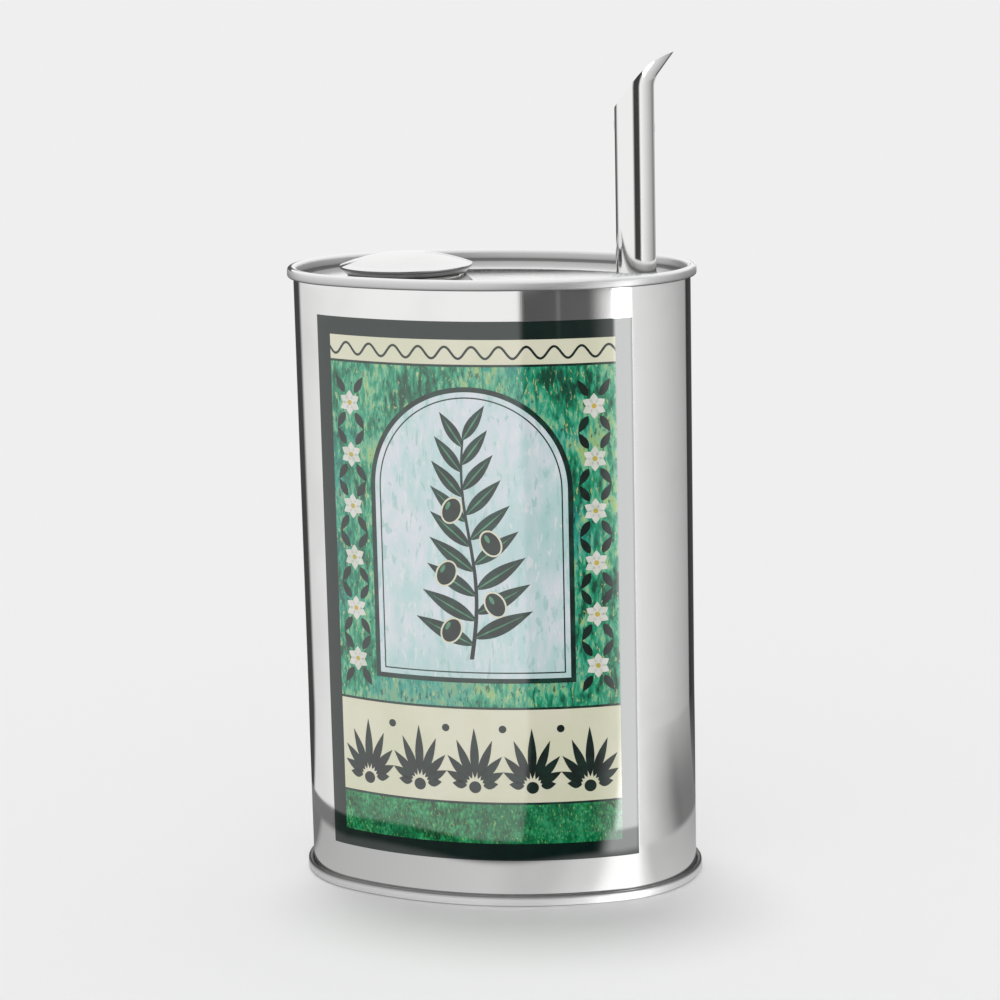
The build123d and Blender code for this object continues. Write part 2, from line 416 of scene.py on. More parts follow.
@dataclass(frozen=True)
class PaintedGround(PrintedInk):
    """A ground of short overlapping brush strokes, as a palette of tones with flecks and a tint.

    The shares say how much patches, rising strokes and falling strokes count in the choice of tone.
    """

    palette: tuple[Colour, ...] = ()
    fleck: Colour = (0.62, 0.70, 0.30)
    shade: Colour = (0.001, 0.040, 0.026)
    tint: Colour = (0.03, 0.36, 0.36)
    tint_scale: float = 34.0
    patch_scale: float = 70.0
    stroke_scale: float = 760.0
    stroke_length: float = 0.32
    stroke_turn: float = 0.5
    fleck_scale: float = 1500.0
    shares: tuple[float, float, float] = (0.75, 0.65, 0.55)
    shares_start: float = 0.475
    tone_range: tuple[float, float] = (0.25, 0.75)
    tint_range: tuple[float, float] = (0.5, 0.62)
    tint_share: float = 0.45
    shade_range: tuple[float, float] = (0.34, 0.42)
    fleck_range: tuple[float, float] = (0.61, 0.68)
    grit_share: float = 0.75

    def strokes(self, graph: Graph, turn: float, scale: float) -> Signal:
        """Adds a noise drawn out into strokes that lean by that turn, in radians."""
        where = graph.place((1.0, 1.0, self.stroke_length), turn)
        return graph.noise(where, scale, detail=3.0, distortion=0.5)

    def colour(self, graph: Graph) -> bpy.types.NodeSocket:
        """Picks a tone by patches broken up by two layers of strokes, then tints and flecks it."""
        patch = graph.noise(graph.place(), self.patch_scale, detail=2.0)
        rising = self.strokes(graph, self.stroke_turn, self.stroke_scale)
        falling = self.strokes(graph, self.stroke_turn - math.pi / 2, self.stroke_scale)
        by_patch, by_rising, by_falling = self.shares
        mixed = by_patch * patch + by_rising * rising + by_falling * falling - self.shares_start
        level = mixed.between(*self.tone_range)
        steps = len(self.palette) - 1
        painted = graph.ramp(level, [(place / steps, tone) for place, tone in enumerate(self.palette)])
        cool = graph.noise(graph.place(), self.tint_scale, detail=3.0).between(*self.tint_range)
        tinted = graph.blend(self.tint_share * cool, painted, self.tint)
        grit = self.strokes(graph, -self.stroke_turn, self.fleck_scale)
        dark = self.grit_share * (1 - grit.between(*self.shade_range))
        shaded = graph.blend(dark, tinted, self.shade)
        return graph.blend(self.grit_share * grit.between(*self.fleck_range), shaded, self.fleck)


class Inks(Enum):
    """The label's inks."""

    BORDER = PrintedInk("ink_border_green", tone=(0.0012, 0.0125, 0.0095), second_tone=(0.002, 0.017, 0.012))
    NIGHT = PrintedInk("ink_leaf_night", tone=(0.004, 0.012, 0.010), second_tone=(0.006, 0.026, 0.019))
    LEAF = PrintedInk("ink_leaf_dark", tone=(0.006, 0.052, 0.034), second_tone=(0.002, 0.018, 0.013))
    LIGHT_LEAF = PrintedInk("ink_leaf_light", tone=(0.12, 0.36, 0.20), second_tone=(0.05, 0.24, 0.13))
    CREAM = PrintedInk("ink_cream", tone=(0.88, 0.86, 0.68), second_tone=(0.82, 0.82, 0.61),
                       mottle_scale=60.0)
    WHITE = PrintedInk("ink_petal_white", tone=(0.86, 0.86, 0.80), second_tone=(0.74, 0.78, 0.68))
    HEART = PrintedInk("ink_flower_heart", tone=(0.70, 0.52, 0.09), second_tone=(0.52, 0.47, 0.08))
    GROUND = PaintedGround(
        "ink_painted_ground",
        palette=(
            (0.003, 0.075, 0.040),
            (0.006, 0.230, 0.115),
            (0.010, 0.350, 0.180),
            (0.060, 0.460, 0.270),
            (0.230, 0.590, 0.340),
            (0.420, 0.620, 0.220),
        ),
    )
    WINDOW = PaintedGround(
        "ink_pale_window",
        palette=((0.60, 0.82, 0.82), (0.72, 0.86, 0.88), (0.80, 0.87, 0.93), (0.86, 0.90, 0.95)),
        fleck=(0.90, 0.93, 0.95),
        shade=(0.44, 0.70, 0.66),
        tint=(0.40, 0.72, 0.68),
        stroke_scale=420.0,
        fleck_scale=700.0,
    )
    MEADOW = PaintedGround(
        "ink_flecked_meadow",
        palette=(
            (0.001, 0.060, 0.016),
            (0.002, 0.170, 0.050),
            (0.006, 0.290, 0.090),
            (0.060, 0.500, 0.200),
        ),
        fleck=(0.34, 0.60, 0.16),
        tint=(0.0, 0.20, 0.08),
        patch_scale=240.0,
        stroke_scale=1500.0,
        stroke_length=0.5,
        fleck_scale=2200.0,
    )


TINPLATE = MirrorTinplate("mirror_tinplate")
SOLDER = TinSolder("tin_solder")
PLUG_PLASTIC = MouldedPlastic("moulded_plug_plastic")


# Surfaces


def rounded_line(corners: list[tuple[float, float]], radii: list[float], steps: int = 7) -> Array:
    """Rounds the inner corners of an open line.

    At a corner whose two runs meet at an angle a, an arc of radius r touches both runs r / tan(a / 2)
    from the corner, and its centre lies r / sin(a / 2) from the corner along the bisector.

    Args:
        corners: The line's corners.
        radii: The radius at each inner corner; zero keeps it sharp.
        steps: How many steps each arc has.

    Returns:
        The line's points, one row each.
    """
    points = np.array(corners, float)
    pieces = [points[:1]]
    for before, corner, after, radius in zip(points, points[1:], points[2:], radii):
        if radius == 0:
            pieces.append(corner[None])
            continue
        back = (before - corner) / np.linalg.norm(before - corner)
        ahead = (after - corner) / np.linalg.norm(after - corner)
        half = math.acos(float(np.clip(back @ ahead, -1, 1))) / 2
        bisector = (back + ahead) / np.linalg.norm(back + ahead)
        centre = corner + bisector * radius / math.sin(half)
        first = corner + back * radius / math.tan(half) - centre
        last = corner + ahead * radius / math.tan(half) - centre
        start = math.atan2(first[1], first[0])
        turn = math.remainder(math.atan2(last[1], last[0]) - start, FULL_TURN)
        swing = start + turn * np.linspace(0, 1, steps + 1)
        pieces.append(centre + radius * np.column_stack([np.cos(swing), np.sin(swing)]))
    pieces.append(points[-1:])
    return np.concatenate(pieces)


def sheet_sides(line: Array, thickness: float) -> tuple[Array, Array]:
    """Gives a sheet's two faces from its middle line.

    Each point moves half the thickness along the bisector of its two runs' normals, divided by the
    cosine of half the turn there, so that both faces stay parallel to every run.

    Args:
        line: The middle line's points.
        thickness: The sheet's thickness.

    Returns:
        The face on the line's left and the face on its right.
    """
    runs = np.diff(line, axis=0)
    runs /= np.linalg.norm(runs, axis=1)[:, None]
    before = np.vstack([runs[:1], runs])
    after = np.vstack([runs, runs[-1:]])
    along = before + after
    along /= np.linalg.norm(along, axis=1)[:, None]
    left = np.column_stack([-along[:, 1], along[:, 0]])
    reach = thickness / 2 / np.sum(along * after, axis=1)
    return line + left * reach[:, None], line - left * reach[:, None]


def round_edge(first: Array, last: Array, steps: int = 4) -> Array:
    """Gives the points between a sheet's two faces at its free edge: half a circle, ends left out.

    Args:
        first: The end of the face that comes first.
        last: The start of the face that comes after; the bulge is on the right of first to last.
        steps: How many steps the half circle has.

    Returns:
        The points between the two.
    """
    centre = (first + last) / 2
    arm = first - centre
    side = np.array([-arm[1], arm[0]])
    swing = math.pi * np.linspace(0, 1, steps + 1)[1:-1, None]
    return centre + arm * np.cos(swing) + side * np.sin(swing)


class Shell:
    """The points and faces of one piece, gathered surface by surface."""

    def __init__(self) -> None:
        """Starts with nothing."""
        self.points: list[Array] = []
        self.work_and_painted_shade: list[Array] = []
        self.faces: list[Array] = []
        self.count = 0

    def add_points(self, points: Array, work_and_painted_shade: Array | float = 0.0) -> Array:
        """Adds points and gives their numbers, in the same arrangement.

        Args:
            points: The points.
            work_and_painted_shade: How far the sheet was formed at each point, from 0 to 1; it masks painted
                tones too.

        Returns:
            The point numbers.
        """
        numbers = self.count + np.arange(points.size // 3).reshape(points.shape[:-1])
        self.points.append(points.reshape(-1, 3))
        self.work_and_painted_shade.append(np.broadcast_to(work_and_painted_shade, numbers.shape).ravel())
        self.count += numbers.size
        return numbers

    def add_faces(self, *corners: Array) -> None:
        """Adds faces from one array of point numbers for each of their corners."""
        self.faces.append(np.stack(np.broadcast_arrays(*corners), axis=-1).reshape(-1, len(corners)))

    def join(self, first: Array, second: Array, closed: bool) -> None:
        """Joins two lines of point numbers with a strip of quads."""
        after_first = np.roll(first, -1) if closed else first[1:]
        after_second = np.roll(second, -1) if closed else second[1:]
        stop = None if closed else -1
        self.add_faces(first[:stop], after_first, after_second, second[:stop])

    def grid(self, points: Array, closed_rows: bool = False, closed_columns: bool = False,
             work_and_painted_shade: Array | float = 0.0) -> Array:
        """Adds a surface from a grid of points, rows by columns.

        Args:
            points: The grid, rows by columns by three.
            closed_rows: The last row meets the first one.
            closed_columns: The last column meets the first one.
            work_and_painted_shade: How far the sheet was formed, for each point or row; it masks painted
                tones too.

        Returns:
            The point numbers, rows by columns.
        """
        numbers = self.add_points(points, work_and_painted_shade)
        below = numbers if closed_rows else numbers[:-1]
        above = np.roll(numbers, -1, axis=0) if closed_rows else numbers[1:]
        if closed_columns:
            self.add_faces(below, np.roll(below, -1, axis=1), np.roll(above, -1, axis=1), above)
        else:
            self.add_faces(below[:, :-1], below[:, 1:], above[:, 1:], above[:, :-1])
        return numbers

    def close_pole(self, ring: Array, pole: tuple[float, float, float]) -> None:
        """Closes a ring of point numbers with triangles to one point."""
        tip = self.add_points(np.array([pole], float))
        self.add_faces(ring, np.roll(ring, -1), np.broadcast_to(tip, ring.shape))

    def fill_flat(self, outer: Array, holes: list[Array], centres: list[tuple[float, float]]) -> None:
        """Fills the flat between an outer ring and round holes with triangles.

        Args:
            outer: Point numbers of the outer ring, a convex one.
            holes: Point numbers of each hole's ring.
            centres: The middle of each hole.
        """
        rings = [outer, *holes]
        numbers = np.concatenate(rings)
        flat = np.concatenate(self.points)[numbers][:, :2]
        edges = []
        start = 0
        for ring in rings:
            places = start + np.arange(len(ring))
            edges += np.column_stack([places, np.roll(places, -1)]).tolist()
            start += len(ring)
        grown = flat / MM
        flat_points = [Vector(point) for point in grown]
        _, _, triangles, kept, _, _ = delaunay_2d_cdt(flat_points, edges, [], 0, SAME_POINT)
        origin = np.array([places[0] for places in kept])
        triangles = origin[np.array(triangles)]
        middles = flat[triangles].mean(axis=1)
        for ring, centre in zip(holes, centres):
            reach = np.linalg.norm(np.concatenate(self.points)[ring[0]][:2] - centre)
            outside = np.linalg.norm(middles - centre, axis=1) > reach
            triangles, middles = triangles[outside], middles[outside]
        self.add_faces(*numbers[triangles].T)

    def make(self, name: str, sharp_degrees: float = 35.0) -> bpy.types.Object:
        """Makes the object, its faces outward and smooth, its folds past the given angle sharp."""
        points = np.concatenate(self.points)
        corners = np.concatenate([part.ravel() for part in self.faces])
        sizes = np.concatenate([np.full(len(part), part.shape[1]) for part in self.faces])
        mesh = bpy.data.meshes.new(name)
        mesh.vertices.add(len(points))
        mesh.vertices.foreach_set("co", points.astype(np.float32).ravel())
        mesh.loops.add(len(corners))
        mesh.loops.foreach_set("vertex_index", corners.astype(np.int32))
        mesh.polygons.add(len(sizes))
        mesh.polygons.foreach_set("loop_start", (np.cumsum(sizes) - sizes).astype(np.int32))
        mesh.update(calc_edges=True)
        mesh.validate()
        work_and_painted_shade = np.concatenate(self.work_and_painted_shade)
        # The mask that places both the roller roughness and the painted shade and highlight bands.
        if work_and_painted_shade.any():
            mesh.attributes.new(WORK_AND_PAINTED_SHADE, "FLOAT", "POINT").data.foreach_set("value", work_and_painted_shade.astype(np.float32))
        work = bmesh.new()
        work.from_mesh(mesh)
        bmesh.ops.recalc_face_normals(work, faces=work.faces)
        work.to_mesh(mesh)
        work.free()
        mesh.polygons.foreach_set("use_smooth", np.ones(len(mesh.polygons), bool))
        mesh.set_sharp_from_angle(angle=math.radians(sharp_degrees))
        made = bpy.data.objects.new(name, mesh)
        bpy.context.scene.collection.objects.link(made)
        return made


def turned(profile: Array, centre: float, columns: int) -> Array:
    """Turns a profile of (radius, height) points about an upright axis on the can's middle plane.

    x = centre + r cos a, y = r sin a, z = height, with a going once round.

    Args:
        profile: The profile's points.
        centre: The axis's place along X.
        columns: How many steps the turn has.

    Returns:
        The grid of points, one row for each profile point.
    """
    angle = FULL_TURN * np.arange(columns) / columns
    radius = profile[:, 0, None]
    height = np.broadcast_to(profile[:, 1, None], (len(profile), columns))
    return np.stack([centre + radius * np.cos(angle), radius * np.sin(angle), height], axis=-1)


@dataclass(frozen=True)
class CanOval:
    """The can's plan: an oval of four tangent arcs.

    A point is found by the direction a of its normal. It is c + (R - inset) (cos a, sin a), where c
    and R belong to the arc that has that direction. An inset is how far the point lies inside the
    seams' outer face.
    """

    half_width: float
    half_depth: float
    end_share: float = 0.84

    @property
    def end_radius(self) -> float:
        """Radius of the rounded ends."""
        return self.end_share * self.half_depth

    @property
    def end_centre(self) -> float:
        """Distance of the ends' centres from the can's middle."""
        return self.half_width - self.end_radius

    @property
    def side_centre(self) -> float:
        """Distance of the broad sides' centres from the can's middle."""
        rise = self.half_depth - self.end_radius
        return (self.end_centre**2 - rise**2) / (2 * rise)

    @property
    def side_radius(self) -> float:
        """Radius of the broad sides."""
        return self.half_depth + self.side_centre

    @property
    def side_half_turn(self) -> float:
        """Half the turn of a broad side, in radians."""
        return math.atan2(self.end_centre, self.side_centre)

    def directions(self, step: float) -> Array:
        """Gives directions once round the can, about that far apart, with the arcs' joins among them."""
        end_turn = math.pi / 2 - self.side_half_turn
        quarter_side = math.ceil(self.side_radius * self.side_half_turn / step)
        half_end = math.ceil(self.end_radius * end_turn / step)
        side = np.linspace(0, self.side_half_turn, quarter_side, endpoint=False)
        end = np.linspace(self.side_half_turn, math.pi - self.side_half_turn, 2 * half_end, endpoint=False)
        far = np.linspace(math.pi - self.side_half_turn, math.pi, quarter_side, endpoint=False)
        half_way = np.concatenate([side, end, far])
        return np.concatenate([half_way, half_way + math.pi]) - math.pi / 2

    def points(self, direction: Array, inset: Array | float) -> tuple[Array, Array]:
        """Gives x and y of the points with those directions and insets."""
        at_end = np.abs(np.sin(direction)) < math.cos(self.side_half_turn)
        centre_x = np.where(at_end, self.end_centre * np.sign(np.cos(direction)), 0.0)
        centre_y = np.where(at_end, 0.0, -self.side_centre * np.sign(np.sin(direction)))
        radius = np.where(at_end, self.end_radius, self.side_radius) - inset
        return centre_x + radius * np.cos(direction), centre_y + radius * np.sin(direction)

    def carried(self, section: Array, direction: Array) -> Array:
        """Carries a section of (inset, height) points round the can, one row for each point."""
        x, y = self.points(direction[None, :], section[:, 0, None])
        return np.stack([x, y, np.broadcast_to(section[:, 1, None], x.shape)], axis=-1)

    def front_direction(self, along: Array, inset: float) -> Array:
        """Gives the direction at a distance along the front wall from its middle, towards +X."""
        side_radius = self.side_radius - inset
        beyond = np.abs(along) - side_radius * self.side_half_turn
        on_end = self.side_half_turn + beyond / (self.end_radius - inset)
        turned_by = np.where(beyond < 0, np.abs(along) / side_radius, on_end)
        return np.sign(along) * turned_by - math.pi / 2

    def front_length(self, reach: float, inset: float) -> float:
        """Gives the distance along the wall from the front's middle to the end arc's point at that x."""
        end_radius = self.end_radius - inset
        turn = math.asin((reach - self.end_centre) / end_radius) - self.side_half_turn
        return (self.side_radius - inset) * self.side_half_turn + end_radius * turn


@dataclass(frozen=True)
class SeamSizes:
    """The double seams' layers, as insets and as depths from a seam's crest."""

    end_sheet: float = 0.40 * MM
    body_sheet: float = 0.36 * MM
    layer_gap: float = 0.12 * MM
    seam_height: float = 2.75 * MM
    hook_pocket: float = 0.35 * MM
    hook_play: float = 0.15 * MM
    groove_depth: float = 1.3 * MM
    groove_width: float = 2.4 * MM
    crest_bend: float = 0.82 * MM
    fold_bend: float = 0.46 * MM
    groove_bend: float = 0.62 * MM
    wall_bend: float = 0.3 * MM
    panel_margin: float = 1.6 * MM

    @property
    def skirt_line(self) -> float:
        """Inset of the skirt's middle."""
        return self.end_sheet / 2

    @property
    def body_hook_line(self) -> float:
        """Inset of the body hook's middle."""
        return self.end_sheet + self.layer_gap + self.body_sheet / 2

    @property
    def cover_hook_line(self) -> float:
        """Inset of the cover hook's middle."""
        return 1.5 * self.end_sheet + self.body_sheet + 2 * self.layer_gap

    @property
    def wall_line(self) -> float:
        """Inset of the wall's middle."""
        return 2 * self.end_sheet + 1.5 * self.body_sheet + 3 * self.layer_gap

    @property
    def chuck_line(self) -> float:
        """Inset of the chuck wall's middle."""
        return 2.5 * self.end_sheet + 2 * self.body_sheet + 4 * self.layer_gap

    @property
    def panel_edge(self) -> float:
        """Inset of the raised panel's upright edge."""
        return self.chuck_line + self.groove_width

    @property
    def flange_line(self) -> float:
        """Depth of the body hook's flange."""
        return self.end_sheet + self.layer_gap + self.body_sheet / 2

    def rim(self, crest: float, inward: int, floor_line: float) -> list[tuple[float, float]]:
        """Gives an end's middle line, from the cover hook's edge round the crest to the chuck wall's foot.

        Args:
            crest: The crest's height.
            inward: -1 for the top end, 1 for the bottom one.
            floor_line: How far in from the crest the chuck wall stops.

        Returns:
            The corners as (inset, height).
        """
        hook_end = self.end_sheet + self.layer_gap + self.body_sheet + self.hook_play
        fold = self.seam_height - self.end_sheet / 2
        return [
            (self.cover_hook_line, crest + inward * hook_end),
            (self.cover_hook_line, crest + inward * fold),
            (self.skirt_line, crest + inward * fold),
            (self.skirt_line, crest + inward * self.end_sheet / 2),
            (self.chuck_line, crest + inward * self.end_sheet / 2),
            (self.chuck_line, crest + inward * floor_line),
        ]


def dress(piece: bpy.types.Object, finish: Finish, body: Body, slot: Slot, *nodes: str) -> None:
    """Gives a piece its finish, its body and the nodes that it stands for, and reports it."""
    piece.data.materials.clear()
    piece.data.materials.append(finish.material())
    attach(piece, body.value)
    if nodes:
        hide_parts(*nodes)
    LOG.info("%s: %d faces, %s, rides on %s", piece.name, len(piece.data.polygons), finish.name, body.value)


# The can


@dataclass
class Can:
    """The oval can: its wall and both seamed ends."""

    seams: SeamSizes = field(default_factory=SeamSizes)
    column_step: float = 0.7 * MM
    lock_width: float = 4.5 * MM
    lock_groove: float = 0.5 * MM
    lock_stop: float = 1.0 * MM
    lock_shares: tuple[float, ...] = (
        -1.2, -1.0, -0.9, -0.5, 0.0, 0.35, 0.6, 0.7, 0.8, 0.9, 1.0, 1.1, 1.3
    )
    groove_slope: float = 1.6
    ring_sheet: float = 0.38 * MM
    filler_radius: float = 13.38 * MM
    filler_columns: int = 160
    bore_radius: float = 5.3 * MM
    bore_columns: int = 96
    hole_margin: float = 0.3 * MM
    collar_depth: float = 2.6 * MM

    def __post_init__(self) -> None:
        """Reads the can's size, its holes and its floors from the frame."""
        _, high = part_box("top_end")
        self.oval = CanOval(high.x, high.y)
        self.crest = high.z
        self.base_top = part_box("bottom_end")[1].z
        self.panel_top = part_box("filler_ring")[1].z - self.ring_sheet
        self.directions = self.oval.directions(self.column_step)

    def build(self) -> None:
        """Makes the three pieces."""
        self.wall()
        self.top_end()
        self.bottom_end()

    def wall(self) -> None:
        """Makes the wall, hooked outward into both seams, with the lock seam at its back.

        The section is carried round the oval. Outside, a groove half a sheet deep runs beside the
        lock seam; inside, the lock seam stands proud by two sheets.
        """
        seams = self.seams
        hook_end = seams.seam_height - seams.end_sheet - seams.hook_pocket
        bend = seams.wall_bend
        foot, head = seams.seam_height, self.crest - seams.seam_height
        corners = [
            (seams.body_hook_line, hook_end),
            (seams.body_hook_line, seams.flange_line),
            (seams.wall_line, seams.flange_line),
            (seams.wall_line, foot),
            (seams.wall_line, foot + self.lock_stop),
            (seams.wall_line, head - self.lock_stop),
            (seams.wall_line, head),
            (seams.wall_line, self.crest - seams.flange_line),
            (seams.body_hook_line, self.crest - seams.flange_line),
            (seams.body_hook_line, self.crest - hook_end),
        ]
        line = rounded_line(corners, [bend, bend, 0, 0, 0, 0, bend, bend], steps=5)
        left, right = sheet_sides(line, seams.body_sheet)
        section = np.concatenate([left, right[::-1]])
        near = np.array(self.lock_shares)
        lock_turns = math.pi / 2 - near * self.lock_width / 2 / self.oval.side_radius
        directions = np.unique(np.concatenate([self.directions, lock_turns]).round(9))
        grid = self.oval.carried(section, directions)
        height = grid[..., 2]
        across = np.where(grid[..., 1] > 0, grid[..., 0], -self.oval.half_width)
        along_wall = (height > foot + self.lock_stop / 2) & (height < head - self.lock_stop / 2)
        inside = (section[:, 0] > seams.wall_line)[:, None]
        groove_middle = self.lock_width / 2 - self.lock_groove / 2
        off_groove = np.abs(across - groove_middle) / (self.lock_groove / 2)
        groove = np.clip(self.groove_slope - off_groove, 0, 1)
        ridge = np.clip((self.lock_width / 2 - np.abs(across)) / self.lock_groove, 0, 1)
        sunk = np.where(inside, 2 * ridge, groove / 2) * along_wall * seams.body_sheet
        grid[..., 1] -= sunk
        shell = Shell()
        shell.grid(grid, closed_rows=True, closed_columns=True)
        dress(shell.make("wall_with_lock_seam"), TINPLATE, Body.TIN, Slot.TINPLATE, "body_wall")

    def top_end(self) -> None:
        """Makes the lid: seam, groove and raised panel as one sheet, with its two holes."""
        seams = self.seams
        panel_line = self.crest - self.panel_top + seams.end_sheet / 2
        floor_line = panel_line + seams.groove_depth
        corners = [
            *seams.rim(self.crest, -1, floor_line),
            (seams.panel_edge, self.crest - floor_line),
            (seams.panel_edge, self.crest - panel_line),
            (seams.panel_edge + seams.panel_margin, self.crest - panel_line),
        ]
        fold, crest, groove = seams.fold_bend, seams.crest_bend, seams.groove_bend
        line = rounded_line(corners, [fold, fold, crest, crest, groove, groove, groove])
        upper, lower = sheet_sides(line, seams.end_sheet)
        section = np.concatenate([lower[::-1], upper])
        # Masks the seam and the groove, where the lid's colour gets painted shade and highlight bands.
        work_and_painted_shade = np.clip((seams.panel_edge - section[:, 0, None]) / seams.groove_width, 0, 1)
        shell = Shell()
        rim = shell.grid(self.oval.carried(section, self.directions), closed_columns=True, work_and_painted_shade=work_and_painted_shade)
        top, under = self.panel_top, self.panel_top - seams.end_sheet
        ring_low, ring_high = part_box("filler_ring")
        cap_centre = (ring_low.x + ring_high.x) / 2
        solder_low, solder_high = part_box("spout_solder")
        spout_centre = (solder_low.x + solder_high.x) / 2
        filler, bore, margin = self.filler_radius, self.bore_radius, self.hole_margin
        filler_hole = np.array([
            (filler + margin, top),
            (filler, top),
            (filler, under),
            (filler + margin, under),
        ])
        collar = np.array([
            (bore + margin, top),
            (bore, top),
            (bore, under - self.collar_depth),
            (bore + seams.end_sheet, under - self.collar_depth),
            (bore + seams.end_sheet, under),
            (bore + seams.end_sheet + margin, under),
        ])
        filler_grid = shell.grid(turned(filler_hole, cap_centre, self.filler_columns), closed_columns=True)
        collar_grid = shell.grid(turned(collar, spout_centre, self.bore_columns), closed_columns=True)
        centres = [(cap_centre, 0.0), (spout_centre, 0.0)]
        shell.fill_flat(rim[-1], [filler_grid[0], collar_grid[0]], centres)
        shell.fill_flat(rim[0], [filler_grid[-1], collar_grid[-1]], centres)
        # The lid's seam gets painted shade and highlight tones by depth below its crest.
        finish = FormedTinplateWithPaintedShade("tinplate_top_seam_painted_shade", crest=self.crest)
        dress(shell.make("lid_with_seam"), finish, Body.TIN, Slot.TINPLATE, "top_end")

    def bottom_end(self) -> None:
        """Makes the bottom: the same seam turned over, round a recessed panel."""
        seams = self.seams
        base_line = self.base_top - seams.end_sheet / 2
        corners = [*seams.rim(0.0, 1, base_line), (seams.chuck_line + seams.panel_margin, base_line)]
        fold, crest = seams.fold_bend, seams.crest_bend
        line = rounded_line(corners, [fold, fold, crest, crest, seams.groove_bend])
        outer, inner = sheet_sides(line, seams.end_sheet)
        section = np.concatenate([outer[::-1], inner])
        inside = seams.chuck_line + seams.panel_margin
        # Masks the bottom seam, where its colour gets painted shade and highlight bands.
        work_and_painted_shade = np.clip((inside - section[:, 0, None]) / seams.panel_margin, 0, 1)
        shell = Shell()
        rim = shell.grid(self.oval.carried(section, self.directions), closed_columns=True, work_and_painted_shade=work_and_painted_shade)
        shell.fill_flat(rim[-1], [], [])
        shell.fill_flat(rim[0], [], [])
        # Painted reflection on the bottom seam: bright on the crest and the skirt, painted shade in the fold.
        finish = FormedTinplateWithPaintedShade(
            "tinplate_bottom_seam_painted_shade",
            inward=1.0,
            painted_shade_stops=((0.0, 0.9), (1.9, 0.88), (2.3, 0.5), (2.55, 0.2), (2.85, 0.2), (4.0, 0.45)),
        )
        dress(shell.make("bottom_with_seam"), finish, Body.TIN, Slot.TINPLATE, "bottom_end")


# Filler neck and cap


